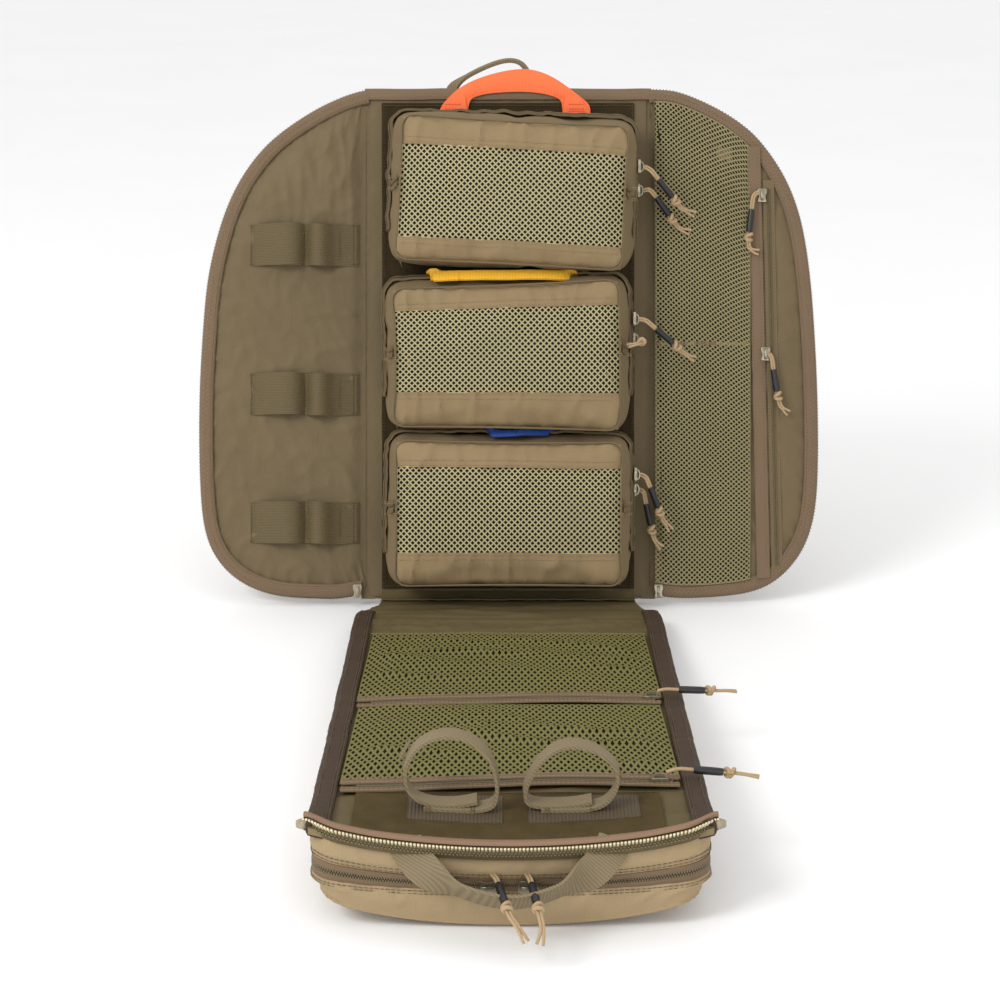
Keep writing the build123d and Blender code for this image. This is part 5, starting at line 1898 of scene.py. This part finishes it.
# ---- front compartment -------------------------------------------------------------------------
def plan_line(half, low, end, corner, count):
    """Plan of the compartment: down one side, round the free end, up the other."""
    dots = []
    for k in range(8):
        dots.append((-half, -low - (end - corner - low) * k / 8))
    for k in range(7):
        a = math.pi / 2 * k / 6
        dots.append((-half + corner - corner * math.cos(a), -end + corner - corner * math.sin(a)))
    for k in range(1, 8):
        dots.append((-half + corner + (2 * half - 2 * corner) * k / 8, -end))
    for k in range(7):
        a = math.pi / 2 * k / 6
        dots.append((half - corner + corner * math.sin(a), -end + corner - corner * math.cos(a)))
    for k in range(1, 9):
        dots.append((half, -end + corner + (end - corner - low) * k / 8))
    spots = np.array(dots)
    along = np.r_[0, np.cumsum(np.linalg.norm(np.diff(spots, axis=0), axis=1))]
    even = np.linspace(0, along[-1], count)
    return [(float(np.interp(t, along, spots[:, 0])), float(np.interp(t, along, spots[:, 1]))) for t in even]


def normals_of(line):
    """Outward direction in plan at each point of the compartment's line."""
    found = []
    for i in range(len(line)):
        a, b = line[max(i - 1, 0)], line[min(i + 1, len(line) - 1)]
        way = Vector((b[0] - a[0], b[1] - a[1], 0)).normalized()
        out = Vector((way.y, -way.x, 0))
        if out.dot(Vector((line[i][0], line[i][1] + 430, 0))) < 0:
            out = -out
        found.append(out)
    return found


RISE = math.radians(5.5)


def floor_under(s, above=0.0):
    """Flap-frame height of the floor under the flap at this distance."""
    return (above - 8.0 - s * math.sin(RISE)) / math.cos(RISE)


def zip_height(s):
    """Middle height of the compartment's zip."""
    return -14.5 - 17.0 * (s - 200) / 472


def rounded_foot(x, y, z):
    """Soft lower edge of the lid: its front corners stand off the floor and draw in."""
    w = ease_in(38, 66, -z) * ease_in(430, 670, -y)
    return x * (1 - 0.035 * w), y, z + 19 * w * min(1.0, abs(x) / 138) ** 2.4


def compartment():
    """Gusset band, zip, soft lid and rim zip of the compartment under the flap."""
    count = 420
    line = plan_line(138.5, 203, 673.5, 18, count)
    outs = normals_of(line)

    def wall(levels, thick, seed, fullness, crease):
        rings = []
        for k in range(len(line)):
            x, y = line[k]
            s = -y
            ring = []
            top, low = levels(s)
            for n in range(15):
                t = n / 14
                z = top + (low - top) * t
                swell = fullness * math.sin(math.pi * t) + crease * (creases(k * 2.1, t * 30, seed, 12,
                    (1.0, 3.0)) - 0.2) * math.sin(math.pi * min(1,
                    t * 1.05 + 0.03)) + 0.7 * fold_noise(k * 2.1, t * 20, seed + 1, 26)
                ring.append(Vector((x, y, z)) + outs[k] * swell)
            rings.append(ring)
        sheet = bands(rings, closed=False, cap=False)
        thicken(sheet, thick, 0)
        return sheet

    band = wall(lambda s: (-4.0, zip_height(s) + 3.5), 1.6, 441, 1.0, 1.3)
    skirt = wall(lambda s: (zip_height(s) - 3.0, floor_under(s, 3.2)), 1.6, 451, 2.2, 2.0)
    rings = []
    for k in range(0, count, 3):
        x, y = line[k]
        o = outs[k]
        z = floor_under(-y)
        rings.append([Vector((x, y, z)) + o * a + Vector((0, 0, b))
            for a, b in ((0.6, 4.2), (1.2, 2.6), (0.6, 1.2), (-2, 0.5), (-7, 0.3), (-7, 1.6), (-2, 2.2))])
    rim = bands(rings)
    bottom = grid(-134, 134, -669, -204, 8)
    reshape(bottom, lambda x, y, z: (x, y, floor_under(-y, 0.9) + 0.4 * (1 + fold_noise(x, y, 461, 40))))
    thicken(bottom, 1.4, 1)
    back_rows = [[Vector((x, -203 - 0.5 * fold_noise(x, k, 463, 20),
        zip_height(203) - 3 + (floor_under(203, 1.0) - zip_height(203) + 3) * k / 6))
        for x in np.linspace(-138, 138, 60)] for k in range(7)]
    back = bands(back_rows, closed=False, cap=False)
    thicken(back, 1.6, 0)
    lid = join([skirt, bottom, back, rim])
    reshape(lid, rounded_foot)
    reshape(lid, bow)
    seat(lid, FLAP, "compartment_lid", "front_lid", PACK_CLOTH_FLAP, "pack_cloth", ("front_lid",), smooth=80)
    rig.padded(lid, fill=0.35)

    reshape(band, bow)
    seat(band, FLAP, "compartment_band", "front_panel", PACK_CLOTH_FLAP, "pack_cloth",
        ("compartment_gusset",), smooth=80)

    points = [Vector((x, y, zip_height(-y))) for x, y in line]
    ups = [UP] * count
    upper = sweep(points, outs, ups, [(-0.8, 1.6), (1.6, 1.8), (2.0, 6.2), (1.2, 6.8), (-0.8, 6.8)])
    lower = sweep(points, outs, ups, [(-0.8, -6.6), (1.3, -6.6), (2.0, -6.0), (1.6, -1.8), (-0.8, -1.6)])
    tapes = join([upper, lower])
    reshape(tapes, bow)
    seat(tapes, FLAP, "compartment_zip_tape", "front_panel", TAPE, "binding", ("compartment_zip",))
    cloth = sweep(points, outs, ups, [(-1, -2.4), (0.6, -2.4), (0.6, 2.4), (-1, 2.4)])
    reshape(cloth, bow)
    seat(cloth, FLAP, "compartment_zip_cloth", "front_panel", LINING_FLAP, "zip_coil")
    run = [p + o * 1.2 for p, o in zip(points, outs)]

    def facing(p):
        near = min(range(0, count, 4), key=lambda i: (points[i] - p).length_squared)
        return outs[near]

    coil = coil_zip(run, facing, pitch=1.9, width=5.2, tall=2.0)
    reshape(coil, bow)
    seat(coil, FLAP, "compartment_zip_coil", "front_panel", COIL, "zip_coil")

    rows = []
    for shift, owner in ((11.0, 0), (8.4, 0), (-8.4, 1), (-11.5, 1)):
        run = [p + o * (2.2 if owner == 0 else 2.6) + Vector((0, 0, shift))
            for p, o in zip(points, outs) if -p.y > 420 or owner == 0]
        rows.append((owner, stitches(run, facing, pitch=3.8, length=2.8, width=0.6)))
    for owner, body, name in ((0, "front_panel", "band_stitching"), (1, "front_lid", "lid_stitching")):
        sewing = join([row for o, row in rows if o == owner])
        if name == "lid_stitching":
            reshape(sewing, rounded_foot)
        reshape(sewing, bow)
        seat(sewing, FLAP, name, body, THREAD, "binding")

    # rim zip along the free edge: pinkish tape, teeth in two rows and end caps
    across = [Vector((x, -676.5 + 13 * ease_in(120, 150, abs(x)), 0.8)) for x in np.linspace(-145, 145, 150)]
    n = len(across)
    outs_rim = [Vector((0, -1, 0))] * n
    ups_rim = [UP] * n
    lip = sweep(across, outs_rim, ups_rim, [(-12, 0.8), (-11.5, 2.2), (-6, 3.6), (-1.5, 4.4), (0.4, 3.8),
        (0.8, 2.2), (-3, 1.2)])
    reshape(lip, bow)
    seat(lip, FLAP, "rim_inner_binding", "front_panel", TAPE_ROSE, "binding", ("rim_zip",))
    cloth = sweep(across, outs_rim, ups_rim, [(-4, 1.6), (2.6, 1.0), (3.4, -1.0), (3.0, -4.4), (1.0, -8.0),
        (-2, -8.0), (-2, -1)])
    reshape(cloth, bow)
    seat(cloth, FLAP, "rim_zip_tape", "front_panel", LINING_FLAP, "zip_coil")
    deselect()
    bpy.ops.mesh.primitive_cylinder_add(vertices=8, radius=1.0, depth=5.2)
    tooth = settle(bpy.context.object)
    modify(tooth, "BEVEL", width=0.35, segments=2, limit_method="ANGLE")
    lean_way = Vector((0, -0.75, 0.66)).normalized()
    spots = [basis(p + Vector((0, -3.6, 0.2)), w, lean_way) for p, w in walk(across, 2.6, 0.8)]
    teeth = copies(tooth, spots)
    reshape(teeth, bow)
    seat(teeth, FLAP, "rim_zip_teeth", "front_panel", TEETH, "zip_coil")
    lower_run = [p + Vector((0, -3.4, -3.4)) for p in across]
    coil = coil_zip(lower_run, Vector((0, -1, 0.3)), pitch=2.6, width=3.0, tall=2.4)
    reshape(coil, bow)
    seat(coil, FLAP, "rim_zip_coil", "front_panel", COIL, "zip_coil")
    caps = []
    for sign in (-1, 1):
        cap = block(-4, 4, -5, 5, -3, 3, bevel=1.6, segments=3)
        place(cap, basis(Vector((sign * 144.5, -667.5, 0.6)), Vector((sign, 0.9, 0)), UP))
        caps.append(cap)
    caps = join(caps)
    seat(caps, FLAP, "rim_zip_end_caps", "front_panel", PALE_METAL, "slider_metal")


compartment()


def compartment_hardware():
    """Two sliders meeting in the middle and the drooping webbing handle."""
    for side, x in (("left", -15), ("right", 13)):
        piece = slider_shape(16.5, 14.0)
        place(piece, basis(Vector((x, -679.0, zip_height(673) + 1)),
            Vector((-1 if side == "right" else 1, 0, 0)), Vector((0, -1, 0))))
        reshape(piece, bow)
        seat(piece, FLAP, "compartment_zip_slider_" + side, "compartment_slider_" + side, NICKEL,
            "slider_metal", ("compartment_slider_" + side,), smooth=40)
    dots = [(-74, -677, -7), (-73, -680, -12), (-68, -686, -18), (-60, -692, -25), (-47, -697, -32),
        (-30, -701, -39), (-12, -704, -43), (0, -705, -44), (12, -704, -43), (30, -701, -38.5),
        (46, -697, -31), (59, -692, -24), (66, -686, -16.5), (71, -680, -11), (72.5, -677, -7)]
    line = smooth_line(dots, 121)
    points = [Vector(p) for p in line]
    sight = Vector((0, 0.87, -0.49))
    wide = []
    for i, p in enumerate(points):
        t = abs(i - 60) / 60
        along = way_at(points, i)
        turn = math.radians(10 + 74 * ease_in(0.38, 0.8, t))
        wide.append(sight * math.cos(turn) + sight.cross(along).normalized() * math.sin(turn))
    strap = ribbon(points, wide, 24.0, 2.2)
    seat(strap, FLAP, "drooping_webbing_handle", "flap_handle", WEBBING_FLAP, "webbing", ("flap_handle",))


compartment_hardware()


# ---- back of the pack: shell, pads, straps and belt -----------------------------------------
def from_solid(node, voxel, smooth):
    """Soft copy of a CAD solid: merged, remeshed and relaxed, in the panel's frame."""
    source = frame["nodes"][node]
    obj = bpy.data.objects.new("soft", source.data.copy())
    bpy.context.scene.collection.objects.link(obj)
    obj.data.transform(ON_PANEL.inverted() @ source.matrix_world)
    only(obj)
    bpy.ops.object.mode_set(mode="EDIT")
    bpy.ops.mesh.select_all(action="SELECT")
    bpy.ops.mesh.remove_doubles(threshold=0.01)
    bpy.ops.object.mode_set(mode="OBJECT")
    modify(obj, "REMESH", mode="VOXEL", voxel_size=voxel)
    modify(obj, "SMOOTH", iterations=smooth, factor=0.5)
    return obj


def inflate(obj, amount):
    """Push the surface out along its normals, less where the noise is low."""
    data = obj.data
    normals = [v.normal.copy() for v in data.vertices]
    for vertex, normal in zip(data.vertices, normals):
        p = vertex.co
        vertex.co = p + normal * amount * (0.75 + 0.5 * fold_noise(p.x, p.y, 501 + p.z * 0.01, 22))
    data.update()
    return obj


def back_shell():
    """Padded outer back with its side bindings."""
    shell = block(-132.6, 132.6, -3.4, 480.5, -13.2, -2.2)
    modify(shell, "REMESH", mode="VOXEL", voxel_size=5.0)
    modify(shell, "SMOOTH", iterations=3, factor=0.5)
    reshape(shell, lambda x, y, z: (x, y, z - (0.5 + 1.2 * creases(x, y, 503, 60, (1, 1.5)) if z < -9
        else 0)))
    modify(shell, "SUBSURF", levels=1, render_levels=1)
    seat(shell, ON_PANEL, "outer_back_panel", "back_panel", SHELL, "pack_cloth", ("back_shell",), smooth=80)
    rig.padded(shell, fill=0.5)
    sheet = frame["nodes"]["frame_sheet"]
    sheet.data.materials.clear()
    sheet.data.materials.append(PLASTIC)
    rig.slot(sheet, "stiffener")
    strips = []
    for sign in (-1, 1):
        line = [Vector((sign * (132.8 + 0.3 * fold_noise(y, sign, 505, 25)), y, 0))
            for y in np.linspace(2, 478, 100)]
        section = [(-9, -12.9), (-9, -14.2), (-3, -14.7), (0.4, -13.6), (0.6, -9.0), (-1.0, -9.0)]
        strips.append(bands([[p + Vector((sign * a, 0, b)) for a, b in section] for p in line]))
    strip = join(strips)
    seat(strip, ON_PANEL, "back_side_bindings", "back_panel", TAPE, "binding")


def back_harness():
    """Back pads, shoulder straps, webbing and hip belt."""
    pads = from_solid("back_pads", 4.0, 4)
    puff(pads, cap=2.0, pressure=3.0, voxel=4.5)
    reshape(pads, lambda x, y, z: (x, y, min(z, -13.1)))
    seat(pads, ON_PANEL, "back_pad_cushions", "back_panel", PAD_MESH, "pad_mesh", ("back_pads",), smooth=80)
    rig.padded(pads, fill=0.7)

    straps = from_solid("shoulder_straps", 3.2, 6)
    inflate(straps, 0.9)
    modify(straps, "SUBSURF", levels=1, render_levels=1)
    seat(straps, ON_PANEL, "shoulder_strap_pads", "back_panel", STRAP, "strap_fabric", ("shoulder_straps",),
        smooth=80)
    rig.padded(straps, fill=0.7)

    belt = from_solid("hip_belt", 3.6, 6)
    inflate(belt, 1.0)
    modify(belt, "SUBSURF", levels=1, render_levels=1)
    seat(belt, ON_PANEL, "hip_belt_pads", "back_panel", STRAP, "strap_fabric", ("hip_belt",), smooth=80)
    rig.padded(belt, fill=0.6)

    web = from_solid("strap_webbing", 1.1, 2)
    seat(web, ON_PANEL, "lower_strap_webbing", "back_panel", WEBBING, "webbing", ("strap_webbing",),
        smooth=50)
    locks = frame["nodes"]["ladder_locks"]
    locks.data.materials.clear()
    locks.data.materials.append(PLASTIC)
    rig.slot(locks, "buckle_plastic")


def haul_handle():
    """Thin webbing haul loop behind the top edge."""
    dots = [(-58, 474, -16.4), (-57, 486, -16.6), (-51, 496, -17), (-32, 507.5, -17.4), (-10, 517, -17.6),
        (4, 519, -17.4), (14, 515.5, -17), (20, 506, -16.8), (22.5, 492, -16.4), (22.5, 474, -16.2)]
    line = smooth_line(dots, 100)
    points = [Vector(p) for p in line]
    wide = []
    for i, p in enumerate(points):
        way = way_at(points, i)
        low = 1 - ease_in(486, 504, p.y)
        wide.append(way.cross(UP).normalized() * (0.34 + 0.7 * low) + Vector((0, 0, 1.0 - 0.8 * low)))
    strap = ribbon(points, wide, 10.0, 2.8)
    seat(strap, ON_PANEL, "haul_loop", "carry_handle", WEBBING, "webbing", ("carry_handle",))


back_shell()
back_harness()
haul_handle()

new_low, new_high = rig.bounds()
with open("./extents.json", "w") as out:
    json.dump({"cad": [list(cad_low), list(cad_high)], "visual": [list(new_low), list(new_high)]}, out)
